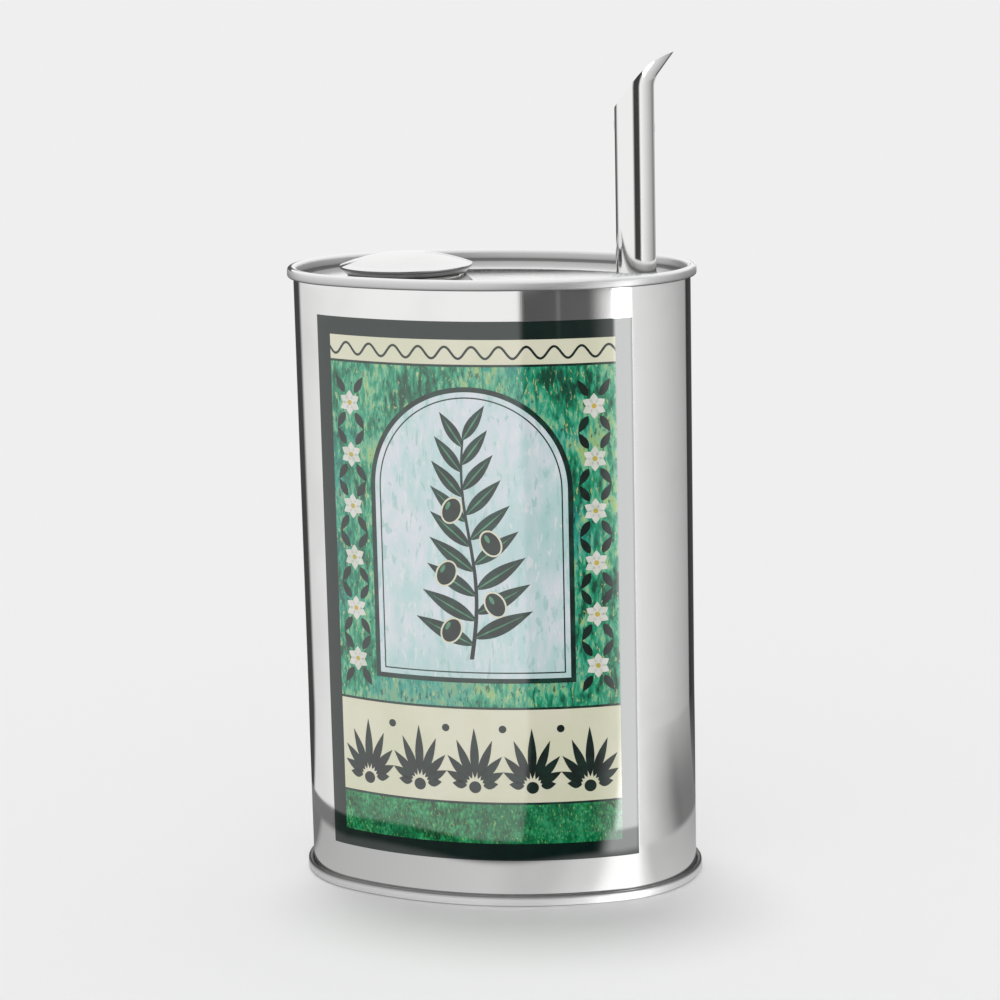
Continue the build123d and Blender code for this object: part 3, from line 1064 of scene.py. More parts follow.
@dataclass
class FillerAndCap:
    """The soldered filler ring, and the cap that lifts off it."""

    ring_sheet: float = 0.38 * MM
    ring_bend: float = 0.45 * MM
    neck_bore: float = 12.9 * MM
    columns: int = 192
    cover_sheet: float = 0.38 * MM
    edge_drop: float = 0.25 * MM
    edge_band: float = 0.3 * MM
    edge_bend: float = 0.15 * MM
    dome_stop: float = 0.3 * MM
    foot_radius: float = 15.8 * MM
    dome_steps: int = 40
    plug_radius: float = 12.85 * MM
    plug_wall: float = 1.0 * MM
    plug_flange: float = 1.2 * MM
    plug_bend: float = 0.35 * MM
    plug_lead: float = 0.8 * MM

    def __post_init__(self) -> None:
        """Reads the ring's, the cover's and the plug's places from the frame."""
        self.ring_low, self.ring_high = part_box("filler_ring")
        self.cover_low, self.cover_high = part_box("cap_cover")
        self.plug_low, self.plug_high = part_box("cap_plug")
        self.centre = (self.ring_low.x + self.ring_high.x) / 2

    def build(self) -> None:
        """Makes the three pieces."""
        self.ring()
        self.cover()
        self.plug()

    def turn(self, name: str, section: Array) -> bpy.types.Object:
        """Turns a closed section about the neck's axis."""
        shell = Shell()
        shell.grid(turned(section, self.centre, self.columns), closed_rows=True, closed_columns=True)
        return shell.make(name)

    def ring(self) -> None:
        """Makes the ring: a flange on the panel and a neck reaching down, one bent sheet."""
        half = self.ring_sheet / 2
        flange = (self.ring_high.x - self.ring_low.x) / 2 - half
        neck = self.neck_bore + half
        level = self.ring_high.z - half
        corners = [(flange, level), (neck, level), (neck, self.ring_low.z + half)]
        left, right = sheet_sides(rounded_line(corners, [self.ring_bend]), self.ring_sheet)
        section = np.concatenate(
            [left, round_edge(left[-1], right[-1]), right[::-1], round_edge(right[0], left[0])]
        )
        dress(self.turn("filler_neck_ring", section), TINPLATE, Body.TIN, Slot.TINPLATE, "filler_ring")

    def cover(self) -> None:
        """Makes the cover: a shallow dome whose edge turns down and in to its foot.

        The dome is a cap of a sphere. With rise h over radius r its radius is (r^2 + h^2) / 2h, and a
        point at angle a from its pole is R sin a out and R cos a up.
        """
        half = self.cover_sheet / 2
        radius = (self.cover_high.x - self.cover_low.x) / 2 - half
        apex = self.cover_high.z - half
        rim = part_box("top_end")[1].z - self.edge_drop
        rise = apex - rim
        dome_radius = (radius**2 + rise**2) / (2 * rise)
        reach = math.asin((radius - self.dome_stop) / dome_radius)
        angle = np.linspace(0, reach, self.dome_steps + 1)[1:]
        dome = np.column_stack([dome_radius * np.sin(angle), apex - dome_radius * (1 - np.cos(angle))])
        edge = [
            tuple(dome[-1]),
            (radius, rim),
            (radius, rim - self.edge_band),
            (self.foot_radius - half, self.cover_low.z + half),
        ]
        tail = rounded_line(edge, [0.0, self.edge_bend], steps=4)
        line = np.concatenate([dome[:-1], tail])
        left, right = sheet_sides(line, self.cover_sheet)
        shell = Shell()
        section = np.concatenate([left, round_edge(left[-1], right[-1]), right[::-1]])
        # Masks the turned-down edge, where the cap's colour gets painted shade and highlight bands.
        work_and_painted_shade = (section[:, 0, None] > self.foot_radius - self.cover_sheet).astype(float)
        grid = shell.grid(turned(section, self.centre, self.columns), closed_columns=True, work_and_painted_shade=work_and_painted_shade)
        shell.close_pole(grid[0], (self.centre, 0.0, self.cover_high.z))
        shell.close_pole(grid[-1], (self.centre, 0.0, self.cover_high.z - self.cover_sheet))
        # Painted shade on the cap's edge: bright at the rim, a dark painted line under it, a lighter band,
        # dark at the foot.
        finish = FormedTinplateWithPaintedShade(
            "tinplate_cap_edge_painted_shade",
            crest=rim,
            reach=2.1,
            roller_roughness=0.3,
            bright_depth=0.05 * MM,
            painted_shade_stops=((0.0, 0.86), (0.06, 0.3), (0.5, 0.10), (0.8, 0.42), (1.3, 0.55), (1.7, 0.3), (2.1, 0.1)),
        )
        dress(shell.make("cap_cover_dome"), finish, Body.CAP, Slot.TINPLATE, "cap_cover")

    def plug(self) -> None:
        """Makes the plug: a moulded cup with a flange, its corners slightly rounded."""
        flange = (self.plug_high.x - self.plug_low.x) / 2
        outer = self.plug_radius
        inner = outer - self.plug_wall
        floor, top = self.plug_low.z, self.plug_high.z
        bend = self.plug_bend
        corners = [
            (bend, floor + self.plug_wall),
            (inner, floor + self.plug_wall),
            (inner, top),
            (flange, top),
            (flange, top - self.plug_flange),
            (outer, top - self.plug_flange),
            (outer, floor + self.plug_lead),
            (outer - self.plug_lead, floor),
            (bend, floor),
        ]
        small = bend / 2
        line = rounded_line(corners, [bend, bend, small, small, 0, small, small], steps=4)
        shell = Shell()
        grid = shell.grid(turned(line, self.centre, self.columns), closed_columns=True)
        shell.close_pole(grid[0], (self.centre, 0.0, floor + self.plug_wall))
        shell.close_pole(grid[-1], (self.centre, 0.0, floor))
        dress(shell.make("cap_plug_cup"), PLUG_PLASTIC, Body.CAP, Slot.PLUG, "cap_plug")


# Spout


@dataclass
class Spout:
    """The spout tube, bent into a pouring lip, and its solder fillet."""

    wall: float = 0.4 * MM
    bend_drop: float = 9.1 * MM
    bend_radius: float = 5.7 * MM
    bend_degrees: float = 36.7
    lip_reach: float = 10.63 * MM
    mouth_drop: float = 14.5 * MM
    mouth_degrees: float = 50.5
    knee_reach: float = 1.5 * MM
    columns: int = 144
    upright_rows: int = 12
    mouth_rows: int = 48
    rim_rows: int = 4
    rim_bulge: float = 0.14 * MM
    search_steps: int = 40
    fillet_points: int = 10

    def __post_init__(self) -> None:
        """Reads the tube's foot, top and middle from the frame."""
        low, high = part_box("spout_tube")
        solder_low, solder_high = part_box("spout_solder")
        self.solder_box = (solder_low, solder_high)
        self.centre = (solder_low.x + solder_high.x) / 2
        self.radius = self.centre - low.x
        self.foot, self.top = low.z, high.z
        self.bend_start = self.top - self.bend_drop
        self.turn_radius = self.radius + self.bend_radius

    def build(self) -> None:
        """Makes the tube and the fillet."""
        self.tube()
        self.fillet()

    def place(self, along: Array, angle: Array, radius: float) -> Array:
        """Gives points on a tube of that radius about the spout's line.

        The line runs up to the bend, turns outward by s / R about the bend's centre, and goes on
        straight. The tube's point is the line's point plus r cos a towards the bend's inside and
        r sin a along Y.

        Args:
            along: Distance along the line from the foot.
            angle: Angle round the tube, from +X.
            radius: The tube's radius.

        Returns:
            The points.
        """
        up = np.minimum(along, self.bend_start - self.foot)
        full = math.radians(self.bend_degrees)
        turn = np.clip((along - up) / self.turn_radius, 0, full)
        beyond = along - up - turn * self.turn_radius
        reach = self.turn_radius - radius * np.cos(angle)
        x = self.centre + self.turn_radius - reach * np.cos(turn) + beyond * np.sin(turn)
        z = self.foot + up + reach * np.sin(turn) + beyond * np.cos(turn)
        return np.stack([x, radius * np.sin(angle) + 0 * x, z], axis=-1)

    def mouth_height(self, x: Array) -> Array:
        """Gives the mouth's cut: a slope up to its knee, then an arc that eases over to the tip."""
        slope = math.radians(self.mouth_degrees)
        knee_x = self.centre + self.knee_reach
        knee_z = self.top - self.mouth_drop + (self.radius + self.knee_reach) * math.tan(slope)
        tip_x, tip_z = self.centre + self.lip_reach, self.top
        chord = math.hypot(tip_x - knee_x, tip_z - knee_z)
        bend = slope - math.atan2(tip_z - knee_z, tip_x - knee_x)
        radius = chord / (2 * math.sin(bend))
        middle_x, middle_z = knee_x + radius * math.sin(slope), knee_z - radius * math.cos(slope)
        lean = np.clip((middle_x - x) / radius, -1, 1)
        arc = middle_z + radius * np.sqrt(1 - lean**2)
        return np.where(x < knee_x, knee_z + (x - knee_x) * math.tan(slope), arc)

    def ends(self, angle: Array, radius: float) -> Array:
        """Finds where each line along the tube meets the mouth's cut, by halving the stretch."""
        low = np.full(angle.shape, self.top - self.mouth_drop - self.foot - self.radius)
        high = low + 3 * self.mouth_drop
        for _ in range(self.search_steps):
            middle = (low + high) / 2
            point = self.place(middle, angle, radius)
            over = point[..., 2] > self.mouth_height(point[..., 0])
            low, high = np.where(over, low, middle), np.where(over, middle, high)
        return (low + high) / 2

    def tube(self) -> None:
        """Makes the tube: an outer and an inner wall whose ends follow the mouth's cut."""
        angle = FULL_TURN * np.arange(self.columns) / self.columns
        start = self.top - self.mouth_drop - self.foot - self.radius
        upright = np.linspace(0, 1, self.upright_rows, endpoint=False)[:, None] * start
        share = np.linspace(0, 1, self.mouth_rows + 1)[:, None]
        rows = []
        for radius in (self.radius, self.radius - self.wall):
            stretch = self.ends(angle, radius) - start
            along = np.concatenate([upright + 0 * angle, start + share * stretch])
            rows.append(self.place(along, angle[None, :], radius))
        outer, inner = rows
        across = np.linspace(0, 1, self.rim_rows + 1)[1:-1, None, None]
        tangent = outer[-1] - outer[-2]
        tangent /= np.linalg.norm(tangent, axis=-1)[:, None]
        rim = outer[-1] * (1 - across) + inner[-1] * across
        rim = rim + tangent * np.sin(math.pi * across) * self.rim_bulge
        rim[..., 2] = np.minimum(rim[..., 2], self.top)
        shell = Shell()
        shell.grid(np.concatenate([outer, rim, inner[::-1]]), closed_rows=True, closed_columns=True)
        dress(shell.make("spout_tube_lipped"), TINPLATE, Body.TIN, Slot.TINPLATE, "spout_tube")

    def fillet(self) -> None:
        """Makes the solder fillet: a hollow quarter round between the panel and the tube.

        With leg l the face is the arc of radius l about the point l out and l up from the corner.
        """
        low, high = self.solder_box
        leg = high.z - low.z
        inside = (high.x - low.x) / 2 - leg
        swing = np.linspace(0, math.pi / 2, self.fillet_points)
        face = np.column_stack([inside + leg - leg * np.sin(swing), low.z + leg - leg * np.cos(swing)])
        section = np.concatenate([face, [(inside, low.z)]])
        shell = Shell()
        shell.grid(turned(section, self.centre, self.columns), closed_rows=True, closed_columns=True)
        dress(shell.make("spout_solder_fillet"), SOLDER, Body.TIN, Slot.SOLDER, "spout_solder")


# Label


@dataclass
class Label:
    """The printed label: a sheet on the front wall, with its inks as thin layers over it."""

    oval: CanOval
    sheet: float = 0.09 * MM
    border: float = 4.6 * MM
    step: float = 0.6 * MM
    rows: int = 9

    def __post_init__(self) -> None:
        """Reads the label's box from the frame."""
        low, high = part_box("front_label")
        self.inset = low.y + self.oval.half_depth
        self.foot, self.head = low.z, high.z
        self.half = self.oval.front_length(high.x, self.inset)

    def place(self, along: Array, height: Array, lift: float) -> Array:
        """Lays flat points on the label: along from its middle, height above its foot."""
        direction = self.oval.front_direction(along, self.inset)
        x, y = self.oval.points(direction, self.inset - lift)
        return np.stack([x, y, self.foot + height + 0 * x], axis=-1)

    def slab(self, name: str, along: Array, height: Array, lift: float, depth: float) -> bpy.types.Object:
        """Makes a closed layer from flat grids of along and height."""
        shell = Shell()
        front = shell.grid(self.place(along, height, lift))
        back = shell.grid(self.place(along, height, lift - depth)[:, ::-1])[:, ::-1]
        for first, second in ((front[0], back[0]), (front[-1], back[-1]),
                              (front[:, 0], back[:, 0]), (front[:, -1], back[:, -1])):
            shell.join(first, second, closed=False)
        return shell.make(name)

    def flat_grid(self, half: float, low: float, high: float) -> tuple[Array, Array]:
        """Gives a rectangle's flat grid."""
        columns = np.linspace(-half, half, math.ceil(2 * half / self.step) + 1)
        rows = np.linspace(low, high, self.rows)
        return np.meshgrid(columns, rows)

    def build(self) -> None:
        """Makes the bordered sheet."""
        along, height = self.flat_grid(self.half, 0.0, self.head - self.foot)
        sheet = self.slab("label_sheet", along, height, 0.0, self.sheet)
        dress(sheet, Inks.BORDER.value, Body.TIN, Slot.LABEL, "front_label")


@dataclass(frozen=True)
class Lifts:
    """How high the ornaments stand over the sheet, in layers."""

    stem: float = 7.0
    leaves: float = 6.0
    ribs: float = 8.0
    fruit_edges: float = 8.5
    fruits: float = 9.5
    glints: float = 11.0
    petals: float = 7.0
    hearts: float = 8.5
    palmettes: float = 5.0


@dataclass(frozen=True)
class SprigSizes:
    """The sprig. A pair is a size at the stem's foot and what it loses by the tip, in millimetres."""

    pairs: int = 9
    foot_gap: float = 5.0 * MM
    head_rise: float = 14.0 * MM
    stretch: tuple[float, float] = (0.08, 0.97)
    sway: float = 1.6 * MM
    sway_turns: float = 0.9
    stagger: float = 0.9 * MM
    lean: tuple[float, float] = (1.18, 0.62)
    leaf_length: tuple[float, float] = (17.5, 7.0)
    leaf_breadth: tuple[float, float] = (4.4, 1.4)
    rib_share: float = 0.86
    rib_breadth: float = 0.45 * MM
    stem_half: tuple[float, float] = (0.55, 0.3)
    stem_steps: int = 60
    fruits: tuple[tuple[float, float], ...] = (
        (-5.2, 61.5), (6.4, 68.5), (-6.2, 76.5), (5.6, 84.5), (-4.4, 93.0)
    )
    fruit_leans: tuple[float, ...] = (0.5, -0.5, 0.5, -0.5, 0.4)
    fruit_width: float = 4.6 * MM
    fruit_height_share: float = 1.4
    edge_shares: tuple[float, float] = (1.2, 1.6)
    glint_shares: tuple[float, float] = (0.22, 0.5)
    glint_offset: tuple[float, float] = (-0.9 * MM, 1.2 * MM)

    def along_stem(self, size: tuple[float, float], share: Array) -> Array:
        """Gives a size at shares of the way up the stem."""
        at_foot, lost = size
        return at_foot - lost * share


@dataclass(frozen=True)
class GarlandSizes:
    """The upright garlands: rosettes of petals with four leaves round each."""

    rosettes: int = 6
    end_gap: float = 4.0 * MM
    petals: int = 6
    petal_gap: float = 0.4 * MM
    petal: tuple[float, float] = (2.9 * MM, 2.1 * MM)
    heart: float = 1.3 * MM
    leaf_turn: float = 0.55
    leaf_gap: float = 3.0 * MM
    leaf: tuple[float, float] = (5.0 * MM, 2.0 * MM)


@dataclass(frozen=True)
class FriezeSizes:
    """The frieze: palmettes of blades fanned over a bead, with a bead between each two."""

    repeats: int = 5
    end_gap: float = 0.8 * MM
    foot_gap: float = 4.5 * MM
    blades: int = 9
    fan: float = 1.45
    blade_gap: float = 2.2 * MM
    blade_length: tuple[float, float] = (13.5, 9.6)
    blade_breadth: float = 2.3 * MM
    bead_drop: float = 0.2 * MM
    between_drop: float = 5.5 * MM
    bead_widths: tuple[float, float] = (3.2, 2.0)


@dataclass
class LabelArt:
    """The label's generic print: painted bands, an arched window with a sprig, and ornaments."""

    label: Label
    layer: float = 0.012 * MM
    patch_rings: int = 3
    meadow_top: float = 15.5 * MM
    frieze_top: float = 41.0 * MM
    ground_top: float = 130.2 * MM
    window_half: float = 25.5 * MM
    window_foot: float = 49.0 * MM
    window_shoulder: float = 98.0 * MM
    frame_width: float = 1.3 * MM
    line_width: float = 0.35 * MM
    arch_columns: int = 120
    arch_rows: int = 32
    line_steps: tuple[int, int, int] = (12, 30, 60)
    rule_width: float = 0.6 * MM
    wave_swing: float = 1.5 * MM
    wave_count: float = 11.0
    wave_columns: int = 240
    lifts: Lifts = Lifts()
    sprig_sizes: SprigSizes = SprigSizes()
    garland: GarlandSizes = GarlandSizes()
    palmettes: FriezeSizes = FriezeSizes()

    def __post_init__(self) -> None:
        """Works out the printed field inside the border."""
        self.half = self.label.half - self.label.border
        self.low = self.label.border
        self.high = self.label.head - self.label.foot - self.label.border

    def build(self) -> None:
        """Makes the layers from the ground up."""
        self.bands()
        self.window()
        self.sprig()
        self.columns()
        self.frieze()
        self.wave()

    def ink(self, piece: bpy.types.Object, ink: Inks) -> None:
        """Dresses a layer in an ink."""
        dress(piece, ink.value, Body.TIN, Slot.LABEL)

    def bands(self) -> None:
        """Makes the meadow strip, the cream bands and the painted ground."""
        levels = [
            ("print_meadow_strip", self.low, self.meadow_top, Inks.MEADOW),
            ("print_frieze_band", self.meadow_top, self.frieze_top, Inks.CREAM),
            ("print_painted_ground", self.frieze_top, self.ground_top, Inks.GROUND),
            ("print_head_band", self.ground_top, self.high, Inks.CREAM),
        ]
        for name, low, high, ink in levels:
            along, height = self.label.flat_grid(self.half, low, high)
            self.ink(self.label.slab(name, along, height, self.layer, self.layer), ink)

    def arch(self, half: float, foot: float) -> tuple[Array, Array]:
        """Gives an arched field's grid: its top is the shoulder plus a half circle over its width."""
        columns = half * np.sin(np.linspace(-math.pi / 2, math.pi / 2, self.arch_columns + 1))
        top = self.window_shoulder + np.sqrt(np.maximum(half**2 - columns**2, 0.0))
        share = np.linspace(0, 1, self.arch_rows + 1)[:, None]
        height = foot + share * (top - foot)
        return np.broadcast_to(columns, height.shape), height

    def window(self) -> None:
        """Makes the window's dark frame and its pale field."""
        lift = 2 * self.layer
        half, foot = self.window_half + self.frame_width, self.window_foot - self.frame_width
        frame_grid = self.arch(half, foot)
        self.ink(self.label.slab("print_window_frame", *frame_grid, lift, self.layer), Inks.LEAF)
        field_grid = self.arch(self.window_half, self.window_foot)
        pane = self.label.slab("print_window_field", *field_grid, lift + self.layer, self.layer)
        self.ink(pane, Inks.WINDOW)
        margin = self.frame_width + np.linspace(0, 1, 3) * self.line_width
        outline = [self.arch_line(inset) for inset in margin]
        along, height = (np.stack([line[:, axis] for line in outline]) for axis in (0, 1))
        line = self.label.slab("print_window_line", along, height, lift + 2 * self.layer, self.layer)
        self.ink(line, Inks.LEAF)

    def arch_line(self, inset: float) -> Array:
        """Gives a line round the window that far inside it, from the middle of its foot."""
        half, foot = self.window_half - inset, self.window_foot + inset
        base_steps, side_steps, arc_steps = self.line_steps
        swing = np.linspace(0, math.pi, arc_steps + 1)
        side = np.linspace(foot, self.window_shoulder, side_steps + 1)[:-1]
        base = np.linspace(0, half, base_steps + 1)[:-1]
        right = np.concatenate([
            np.column_stack([base, np.full(len(base), foot)]),
            np.column_stack([np.full(len(side), half), side]),
        ])
        top = np.column_stack([half * np.cos(swing), self.window_shoulder + half * np.sin(swing)])
        return np.concatenate([right, top, right[::-1] * [-1, 1]])

    def patches(self, name: str, outlines: Array, centres: Array, ink: Inks, lift_layers: float) -> None:
        """Makes many small closed patches at once.

        Args:
            name: The piece's name.
            outlines: Flat outlines, patches by points by (along, height), each seen from its centre.
            centres: The patches' centres, patches by two.
            ink: The ink.
            lift_layers: How high the patches stand over the sheet, in layers.
        """
        shell = Shell()
        share = np.arange(self.patch_rings, 0, -1)[None, :, None, None] / self.patch_rings
        middle = centres[:, None, None, :]
        flat = middle + share * (outlines[:, None] - middle)
        edges = []
        for level in (lift_layers * self.layer, 0.0):
            rings = shell.add_points(self.label.place(flat[..., 0], flat[..., 1], level))
            pole = shell.add_points(self.label.place(centres[:, 0], centres[:, 1], level))
            ahead = np.roll(rings, -1, axis=2)
            shell.add_faces(rings[:, :-1], ahead[:, :-1], ahead[:, 1:], rings[:, 1:])
            tip = np.broadcast_to(pole[:, None], rings[:, -1].shape)
            shell.add_faces(rings[:, -1], ahead[:, -1], tip)
            edges += [rings[:, 0], ahead[:, 0]]
        front, front_ahead, back, back_ahead = edges
        shell.add_faces(front, front_ahead, back_ahead, back)
        self.ink(shell.make(name), ink)

    @staticmethod
    def leaves(root: Array, heading: Array, length: Array, breadth: Array,
               steps: int = 14) -> tuple[Array, Array]:
        """Gives leaf outlines: half the breadth at share t of the length is b sin(pi t^0.8) / 2.

        Args:
            root: Where each leaf starts, leaves by two.
            heading: Its direction, radians from upright towards +X.
            length: Its length.
            breadth: Its greatest breadth.
            steps: How many steps each side has.

        Returns:
            The outlines and their centres.
        """
        share = np.linspace(0, 1, steps + 1)
        half = np.sin(math.pi * share**LEAF_FULLNESS) / 2
        share = np.concatenate([share, share[-2:0:-1]])
        half = np.concatenate([half, -half[-2:0:-1]])
        ahead = np.stack([np.sin(heading), np.cos(heading)], axis=-1)
        side = np.stack([ahead[:, 1], -ahead[:, 0]], axis=-1)
        along = share[None, :, None] * length[:, None, None] * ahead[:, None, :]
        across = half[None, :, None] * breadth[:, None, None] * side[:, None, :]
        return root[:, None, :] + along + across, root + ahead * length[:, None] * LEAF_MIDDLE

    @staticmethod
    def rounds(centres: Array, width: Array, height: Array, lean: Array,
               steps: int = 24) -> tuple[Array, Array]:
        """Gives oval outlines of those widths and heights, leaning by those angles."""
        swing = FULL_TURN * np.arange(steps) / steps
        flat_x = np.cos(swing)[None, :] * width[:, None] / 2
        flat_y = np.sin(swing)[None, :] * height[:, None] / 2
        cos, sin = np.cos(lean)[:, None], np.sin(lean)[:, None]
        outline = np.stack([flat_x * cos + flat_y * sin, flat_y * cos - flat_x * sin], axis=-1)
        return centres[:, None, :] + outline, centres

    def sprig(self) -> None:
        """Makes the sprig: a slender stem with paired leaves, and fruits beside it."""
        sizes, lifts = self.sprig_sizes, self.lifts
        foot = self.window_foot + sizes.foot_gap
        head = self.window_shoulder + sizes.head_rise
        share = np.linspace(*sizes.stretch, sizes.pairs)
        along = sizes.sway * np.sin(FULL_TURN * share * sizes.sway_turns)
        root = np.column_stack([along, foot + share * (head - foot)])
        sides = np.array([-1.0, 1.0])
        stagger = np.tile([[0, -sizes.stagger], [0, sizes.stagger]], (sizes.pairs, 1))
        roots = np.repeat(root, 2, axis=0) + stagger
        heading = np.tile(sides, sizes.pairs) * np.repeat(sizes.along_stem(sizes.lean, share), 2)
        length = np.repeat(sizes.along_stem(sizes.leaf_length, share), 2) * MM
        breadth = np.repeat(sizes.along_stem(sizes.leaf_breadth, share), 2) * MM
        leaves, centres = self.leaves(roots, heading, length, breadth)
        self.patches("print_sprig_leaves", leaves, centres, Inks.LEAF, lifts.leaves)
        rib_breadth = np.full(len(length), sizes.rib_breadth)
        ribs = self.leaves(roots, heading, sizes.rib_share * length, rib_breadth)
        self.patches("print_sprig_ribs", *ribs, Inks.LIGHT_LEAF, lifts.ribs)
        stem_share = np.linspace(0, 1, sizes.stem_steps + 1)
        stem_x = sizes.sway * np.sin(FULL_TURN * stem_share * sizes.sway_turns)
        stem_half = sizes.along_stem(sizes.stem_half, stem_share) * MM
        stem_along = np.stack([stem_x - stem_half, stem_x, stem_x + stem_half], axis=1)
        stem_height = np.repeat((foot + stem_share * (head - foot))[:, None], 3, axis=1)
        stem_lift = lifts.stem * self.layer
        stem = self.label.slab("print_sprig_stem", stem_along, stem_height, stem_lift, self.layer)
        self.ink(stem, Inks.NIGHT)
        fruit_at = np.array(sizes.fruits) * MM
        lean = np.array(sizes.fruit_leans)
        wide = np.full(len(lean), sizes.fruit_width)
        edges = self.rounds(fruit_at, sizes.edge_shares[0] * wide, sizes.edge_shares[1] * wide, lean)
        self.patches("print_fruit_edges", *edges, Inks.CREAM, lifts.fruit_edges)
        fruits = self.rounds(fruit_at, wide, sizes.fruit_height_share * wide, lean)
        self.patches("print_sprig_fruits", *fruits, Inks.NIGHT, lifts.fruits)
        glint_at = fruit_at + sizes.glint_offset
        glints = self.rounds(glint_at, sizes.glint_shares[0] * wide, sizes.glint_shares[1] * wide, lean)
        self.patches("print_fruit_glints", *glints, Inks.LIGHT_LEAF, lifts.glints)

    def fanned(self, at: Array, turns: Array, gap: float,
               size: tuple[float, float]) -> tuple[Array, Array]:
        """Gives equal leaves fanned round each spot.

        Args:
            at: The spots, spots by two.
            turns: Each leaf's direction, radians from upright towards +X.
            gap: How far from its spot a leaf starts.
            size: A leaf's length and breadth.

        Returns:
            The outlines and their centres.
        """
        heading = np.tile(turns, len(at))
        roots = np.repeat(at, len(turns), axis=0)
        roots = roots + gap * np.stack([np.sin(heading), np.cos(heading)], axis=-1)
        length, breadth = size
        return self.leaves(roots, heading, np.full(len(roots), length), np.full(len(roots), breadth))

    def columns(self) -> None:
        """Makes the upright garlands beside the window: rosettes with leaf pairs between them."""
        sizes, lifts = self.garland, self.lifts
        pitch = (self.ground_top - self.frieze_top - 2 * sizes.end_gap) / sizes.rosettes
        middle = (self.half + self.window_half + self.frame_width) / 2
        levels = self.frieze_top + sizes.end_gap + pitch * (np.arange(sizes.rosettes) + 0.5)
        at = np.stack(np.meshgrid([-middle, middle], levels), axis=-1).reshape(-1, 2)
        petal_turns = FULL_TURN * np.arange(sizes.petals) / sizes.petals
        petals = self.fanned(at, petal_turns, sizes.petal_gap, sizes.petal)
        self.patches("print_rosette_petals", *petals, Inks.WHITE, lifts.petals)
        heart = np.full(len(at), sizes.heart)
        hearts = self.rounds(at, heart, heart, 0 * heart)
        self.patches("print_rosette_hearts", *hearts, Inks.HEART, lifts.hearts)
        turn = sizes.leaf_turn
        leaf_turns = np.array([turn, -turn, math.pi - turn, math.pi + turn])
        leaves = self.fanned(at, leaf_turns, sizes.leaf_gap, sizes.leaf)
        self.patches("print_garland_leaves", *leaves, Inks.NIGHT, lifts.leaves)

    def frieze(self) -> None:
        """Makes the row of palmettes: blades fanned over each foot, and a bead between."""
        sizes, lift = self.palmettes, self.lifts.palmettes
        pitch = 2 * (self.half - sizes.end_gap) / sizes.repeats
        at = (np.arange(sizes.repeats) - (sizes.repeats - 1) / 2) * pitch
        fan = np.linspace(-sizes.fan, sizes.fan, sizes.blades)
        foot = self.meadow_top + sizes.foot_gap
        heading = np.tile(fan, sizes.repeats)
        centre = np.repeat(np.column_stack([at, np.full(len(at), foot)]), sizes.blades, axis=0)
        roots = centre + sizes.blade_gap * np.stack([np.sin(heading), np.cos(heading)], axis=-1)
        longest, lost = sizes.blade_length
        length = (longest - lost * np.abs(heading) / sizes.fan) * MM
        blades = self.leaves(roots, heading, length, np.full(len(length), sizes.blade_breadth))
        self.patches("print_palmette_blades", *blades, Inks.NIGHT, lift)
        under = np.column_stack([at, np.full(len(at), foot - sizes.bead_drop)])
        between_height = np.full(len(at) - 1, self.frieze_top - sizes.between_drop)
        between = np.column_stack([at[:-1] + pitch / 2, between_height])
        spots = np.concatenate([under, between])
        width = np.repeat(sizes.bead_widths, [len(under), len(between)]) * MM
        beads = self.rounds(spots, width, width, 0 * width)
        self.patches("print_palmette_beads", *beads, Inks.NIGHT, lift)

    def ribbon(self, name: str, height: float, swing: float, waves: float, ink: Inks) -> None:
        """Makes a line across the field whose height follows a sine of that swing and wave count."""
        share = np.linspace(-1, 1, self.wave_columns + 1)
        along = np.repeat((share * self.half)[None], 3, axis=0)
        middle = height + swing * np.sin(math.pi * waves * share)
        tilt = np.hypot(1, math.pi * waves * swing / self.half * np.cos(math.pi * waves * share))
        rows = middle[None] + np.array([[-0.5], [0.0], [0.5]]) * self.rule_width * tilt[None]
        self.ink(self.label.slab(name, along, rows, 3 * self.layer, self.layer), ink)

    def wave(self) -> None:
        """Makes the wave line on the head band and the rules between the bands."""
        middle = (self.ground_top + self.high) / 2
        self.ribbon("print_head_wave", middle, self.wave_swing, self.wave_count, Inks.NIGHT)
        rules = {
            "print_rule_head": self.ground_top,
            "print_rule_frieze": self.frieze_top,
            "print_rule_meadow": self.meadow_top,
        }
        for name, level in rules.items():
            self.ribbon(name, level, 0.0, 0.0, Inks.LEAF)


# Studio


@dataclass(frozen=True)
class FloorFinish(Finish):
    """Plain pale paper, faintly fibrous."""

    tone: Colour = (0.862, 0.862, 0.862)
    second_tone: Colour = (0.848, 0.848, 0.848)
    fibre_scale: float = 900.0
    fibre_detail: float = 3.0
    roughness: float = 0.9

    def paint(self, graph: Graph) -> None:
        """Mixes two near tones by a fine noise."""
        fibre = graph.noise(graph.place(), self.fibre_scale, self.fibre_detail)
        graph.surface(
            {
                "Base Color": graph.blend(fibre, self.tone, self.second_tone),
                "Roughness": self.roughness,
                "Specular IOR Level": 0.0,
            }
        )


@dataclass(frozen=True)
class Card:
    """A card round the tin, from one azimuth to another, in degrees, with soft edges.

    Azimuth 0 lies in front of the label and grows towards the spout's end. The level goes evenly from
    the start's to the end's, and a level of 1 is white.
    """

    start: float
    end: float
    level: float
    end_level: float
    start_blur: float = 3.0
    end_blur: float = 3.0

    def over(self, azimuth: Signal, below: Signal | float) -> Signal:
        """Lays the card over what lies below it."""
        share = (azimuth - self.start) / (self.end - self.start)
        level = self.level + (self.end_level - self.level) * share
        rising = azimuth.between(self.start - self.start_blur / 2, self.start + self.start_blur / 2)
        falling = azimuth.between(self.end - self.end_blur / 2, self.end + self.end_blur / 2)
        return below + rising * (1 - falling) * (level - below)


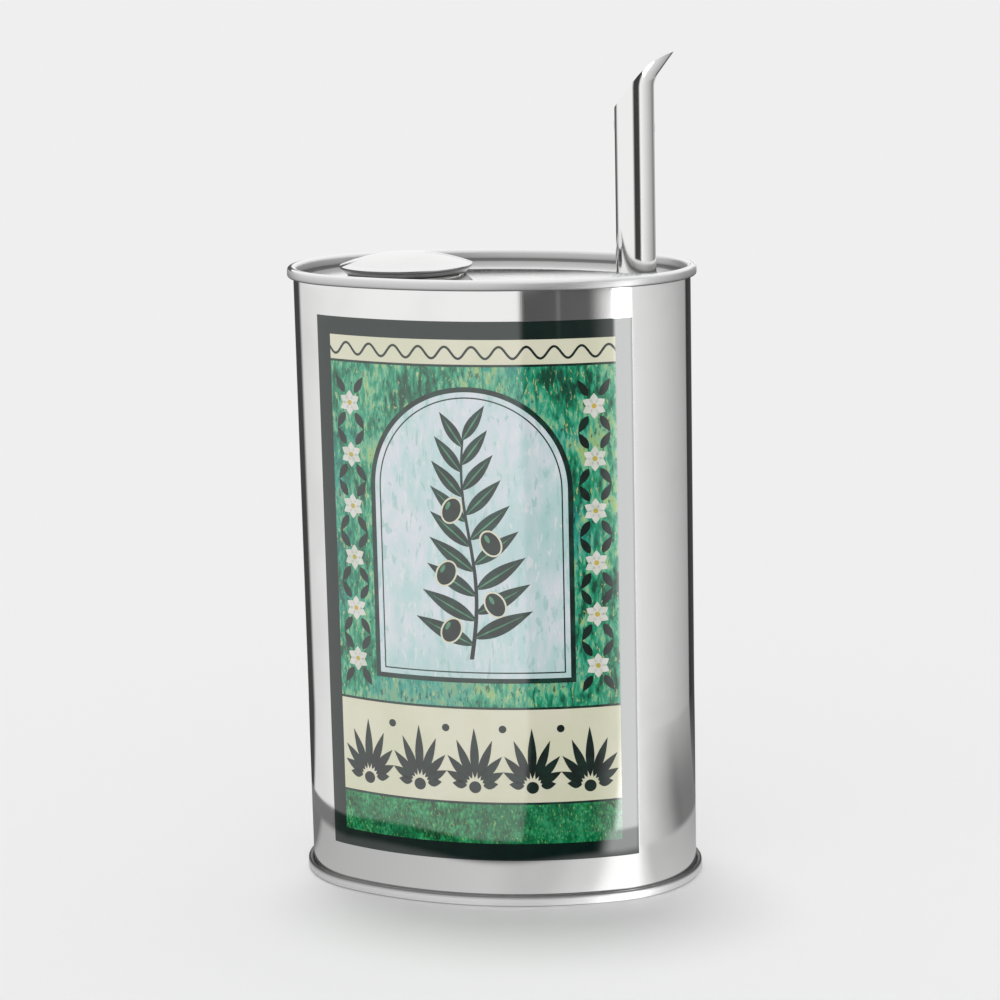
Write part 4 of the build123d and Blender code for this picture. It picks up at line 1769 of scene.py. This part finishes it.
class CardSet(Enum):
    """The cards that each zone of the studio holds, each laid over the ones before it.

    Their edges and levels are simplified from the brightness of the tin's reflections in the
    photograph, which scratch scripts traced back to directions and printed, and then tuned by hand.
    """

    WALL = (
        Card(-200, 200, 0.97, 0.97),
        Card(-114, -40, 0.76, 0.98, 3, 40),
        Card(-141, -113, 0.06, 0.06, 8, 8),
        Card(10.5, 40, 0.09, 0.13, 3, 10),
        Card(58, 136, 0.88, 0.40),
        Card(23.8, 25.2, 0.18, 0.18, 1, 1),
        Card(45.3, 61, 6.0, 6.0, 3, 3),
        Card(136, 166, 0.03, 0.08, 4, 12),
    )
    SPOUT = (
        Card(-200, 200, 0.98, 0.98),
        Card(-149, -110, 0.09, 0.14, 3, 28),
        Card(14, 47, 0.05, 0.06, 14, 10),
        Card(52, 120, 1.02, 0.34, 4, 4),
        Card(118, 136, 0.26, 0.24, 8, 8),
        Card(136, 155, 0.46, 0.48, 6, 6),
    )
    # The floor as mirrored: painted shadow of the tin at its ends and back, a painted pool of the strip's
    # light.
    TABLE = (
        Card(-200, 200, 0.60, 0.60),
        Card(-92, 40, 0.44, 0.72, 10, 8),
        Card(6, 30, 0.58, 0.58, 14, 14),
        Card(68, 160, 0.60, 0.26, 10, 30),
        Card(42, 66, 1.0, 1.0, 14, 10),
        Card(46, 62, 1.25, 1.25, 8, 6),
        Card(-150, -92, 0.18, 0.18, 40, 10),
    )
    # A darker ring further out, with the strip's painted reflection in it.
    TABLE_EDGE = (
        Card(-200, 200, 0.20, 0.20),
        Card(-75, 40, 0.12, 0.02, 12, 4),
        Card(58, 100, 0.94, 0.22, 3, 20),
        Card(43, 61, 3.0, 3.0, 6, 4),
    )


@dataclass(frozen=True)
class MirroredGlow(Finish):
    """Light and dark round the tin, for the metal to mirror."""

    @staticmethod
    def azimuth(graph: Graph) -> Signal:
        """Gives the azimuth round the tin, in degrees."""
        across, depth, _ = graph.axes()
        return across.math("ARCTAN2", depth * -1.0) * math.degrees(1)

    def around(self, graph: Graph, cards: CardSet) -> Signal:
        """Lays a zone's cards over each other."""
        azimuth = self.azimuth(graph)
        level = azimuth * 0.0
        for card in cards.value:
            level = card.over(azimuth, level)
        return level

    def glow(self, graph: Graph) -> Signal:
        """Gives the level at each point."""
        raise NotImplementedError

    def paint(self, graph: Graph) -> None:
        """Gives off the glow."""
        emission = graph.node("ShaderNodeEmission", None, {"Color": self.glow(graph)})
        graph.node("ShaderNodeOutputMaterial", None, {"Surface": emission.outputs[0]})


@dataclass(frozen=True)
class CardFinish(MirroredGlow):
    """The ring of cards: one set low down for the wall, one above it for the spout.

    Behind the tin a dark stripe runs across the upper set, which the lid's panel mirrors.
    """

    split: float = 141.0 * MM
    stripe: tuple[float, float] = (183.5 * MM, 186.2 * MM)
    stripe_blur: float = 0.5 * MM
    stripe_reach: float = 190.5 * MM
    stripe_level: float = 0.02

    def glow(self, graph: Graph) -> Signal:
        """Picks the card by height and azimuth."""
        _, depth, height = graph.axes()
        low, high = self.stripe
        blur = self.stripe_blur
        above = height.between(self.split - 2 * blur, self.split + 2 * blur)
        wall, spout = self.around(graph, CardSet.WALL), self.around(graph, CardSet.SPOUT)
        cards = wall + above * (spout - wall)
        inside = height.between(low - blur, low + blur) * (1 - height.between(high - blur, high + blur))
        stripe = inside * depth.between(self.stripe_reach, self.stripe_reach + 2 * blur)
        return cards + stripe * (self.stripe_level - cards)


@dataclass(frozen=True)
class MirroredFloorWithPaintedShadow(MirroredGlow):
    """A glow that the wall's foot mirrors in place of the floor: pale by the tin, with the tin's painted
    shadow and a painted pool of light on it, darker in a ring further out, the cards beyond.

    The distance from the tin is hypot(max(|x| - s, 0), y) - w, with s half the length of the oval's
    middle line and w half its breadth.
    """

    straight: float = 24.6 * MM
    breadth: float = 33.0 * MM
    edge: tuple[float, float] = (30.0 * MM, 37.0 * MM)
    beyond: tuple[float, float] = (50.5 * MM, 54.0 * MM)
    side_beyond: tuple[float, float] = (55.0 * MM, 185.0 * MM)
    side: tuple[float, float] = (62.0, 74.0)
    back: tuple[float, float] = (130.0, 165.0)

    def glow(self, graph: Graph) -> Signal:
        """Picks the table's zone by the distance from the tin."""
        across, depth, _ = graph.axes()
        past_end = (across.math("ABSOLUTE") - self.straight).math("MAXIMUM", 0.0)
        away = (past_end * past_end + depth * depth).math("SQRT") - self.breadth
        azimuth = self.azimuth(graph)
        side = azimuth.between(*self.side) * (1 - azimuth.between(*self.back))
        outside = away.between(*self.beyond) * (1 - side) + away.between(*self.side_beyond) * side
        near = self.around(graph, CardSet.TABLE)
        dark = self.around(graph, CardSet.TABLE_EDGE)
        far = dark + outside * (self.around(graph, CardSet.WALL) - dark)
        return near + away.between(*self.edge) * (far - near)


@dataclass
class Studio:
    """The floor, the cards, the light and the camera."""

    floor_half: float = 20.0
    floor_points: int = 5
    card_radius: float = 200.0 * MM
    card_height: float = 210.0 * MM
    card_columns: int = 180
    card_rings: int = 4
    table_inside: float = 0.05
    table_lift: float = 0.2 * MM
    backdrop_level: float = 0.855
    sky_level: float = 0.70
    sun_level: float = 0.31
    sun_rise: float = 79.0
    sun_azimuth: float = -155.0
    sun_softness: float = 14.0
    yaw: float = 0.1769
    pitch: float = 0.2000
    roll: float = -0.0158
    place: tuple[float, float, float] = (157.36 * MM, -723.14 * MM, 253.27 * MM)
    lens: float = 102.3
    shift: tuple[float, float] = (-0.1001, -0.0101)
    sensor: float = 36.0
    clip: tuple[float, float] = (0.05, 100.0)

    def build(self) -> None:
        """Sets the studio up."""
        self.floor()
        self.cards()
        self.sky()
        self.sun()
        self.camera()

    def floor(self) -> None:
        """Makes the floor."""
        side = np.linspace(-self.floor_half, self.floor_half, self.floor_points)
        x, y = np.meshgrid(side, side)
        shell = Shell()
        shell.grid(np.stack([x, y, 0 * x], axis=-1))
        made = shell.make("studio_floor")
        made.data.materials.append(FloorFinish("pale_paper").material())

    def mirrored_only(self, name: str, radius: Array, height: Array, finish: Finish) -> None:
        """Makes a round stage piece that only mirror rays see.

        Args:
            name: The piece's name.
            radius: The radius of each of its rings.
            height: The height of each of its rings.
            finish: Its glow.
        """
        shell = Shell()
        profile = np.column_stack([radius, height])
        shell.grid(turned(profile, 0.0, self.card_columns), closed_columns=True)
        made = shell.make(name)
        material = finish.material()
        material.cycles.emission_sampling = "NONE"
        made.data.materials.append(material)
        for seen_by in ("visible_camera", "visible_diffuse", "visible_shadow", "visible_transmission"):
            setattr(made, seen_by, False)

    def cards(self) -> None:
        """Makes the ring of cards and the mirrored table inside it: a glow in place of the floor, with
        painted shadow.
        """
        rings = np.linspace(0, 1, self.card_rings)
        ring_height = rings * self.card_height
        cards = CardFinish("light_and_dark_cards")
        self.mirrored_only("studio_cards", 0 * rings + self.card_radius, ring_height, cards)
        table = MirroredFloorWithPaintedShadow("mirrored_floor_painted_shadow")
        table_radius = self.card_radius * (self.table_inside + (1 - self.table_inside) * rings)
        self.mirrored_only("studio_table", table_radius, 0 * rings + self.table_lift, table)

    def sky(self) -> None:
        """Makes the world: the floor's grey to the camera, white to mirrors, soft light to the rest."""
        world = bpy.data.worlds.new("studio_sky")
        bpy.context.scene.world = world
        world.cycles.sampling_method = "NONE"
        graph = Graph(world)
        path = graph.node("ShaderNodeLightPath")
        camera = Signal(graph, path.outputs["Is Camera Ray"])
        mirror = Signal(graph, path.outputs["Is Glossy Ray"])
        clear = Signal(graph, path.outputs["Is Transmission Ray"])
        seen = self.sky_level + camera * (self.backdrop_level - self.sky_level)
        level = seen + mirror.math("MAXIMUM", clear) * (1.0 - self.sky_level)
        background = graph.node("ShaderNodeBackground", None, {"Strength": level})
        background.inputs["Color"].default_value = (1.0, 1.0, 1.0, 1.0)
        graph.node("ShaderNodeOutputWorld", None, {"Surface": background.outputs[0]})

    def sun(self) -> None:
        """Makes the soft key light, high up and a little behind the tin on the left."""
        light = bpy.data.lights.new("key_light", "SUN")
        light.angle = math.radians(self.sun_softness)
        light.energy = self.sun_level * math.pi / math.sin(math.radians(self.sun_rise))
        made = bpy.data.objects.new("key_light", light)
        bpy.context.scene.collection.objects.link(made)
        rise, turn = math.radians(self.sun_rise), math.radians(self.sun_azimuth)
        towards = Vector((math.sin(turn) * math.cos(rise), -math.cos(turn) * math.cos(rise), math.sin(rise)))
        made.rotation_euler = towards.to_track_quat("Z", "Y").to_euler()
        made.visible_glossy = False

    def camera(self) -> None:
        """Makes the camera at the photographed angle."""
        settings = bpy.data.cameras.new("camera")
        settings.lens = self.lens
        settings.sensor_width = self.sensor
        settings.shift_x, settings.shift_y = self.shift
        settings.clip_start, settings.clip_end = self.clip
        made = bpy.data.objects.new("camera", settings)
        bpy.context.scene.collection.objects.link(made)
        level = math.cos(self.pitch)
        forward = Vector((-math.sin(self.yaw) * level, math.cos(self.yaw) * level, -math.sin(self.pitch)))
        right = Vector((math.cos(self.yaw), math.sin(self.yaw), 0.0))
        up = right.cross(forward)
        rolled_right = right * math.cos(self.roll) + up * math.sin(self.roll)
        rolled_up = up * math.cos(self.roll) - right * math.sin(self.roll)
        turn = Matrix((rolled_right, rolled_up, -forward)).transposed()
        made.matrix_world = Matrix.Translation(self.place) @ turn.to_4x4()
        bpy.context.scene.camera = made
        bpy.context.scene.view_settings.view_transform = "Standard"


def main() -> None:
    """Builds the tin's sub-assemblies in order, then the studio."""
    logging.basicConfig(level=logging.INFO, format="%(message)s")
    can = Can()
    can.build()
    FillerAndCap().build()
    Spout().build()
    label = Label(can.oval)
    label.build()
    LabelArt(label).build()
    Studio().build()


if __name__ == "__main__":
    main()
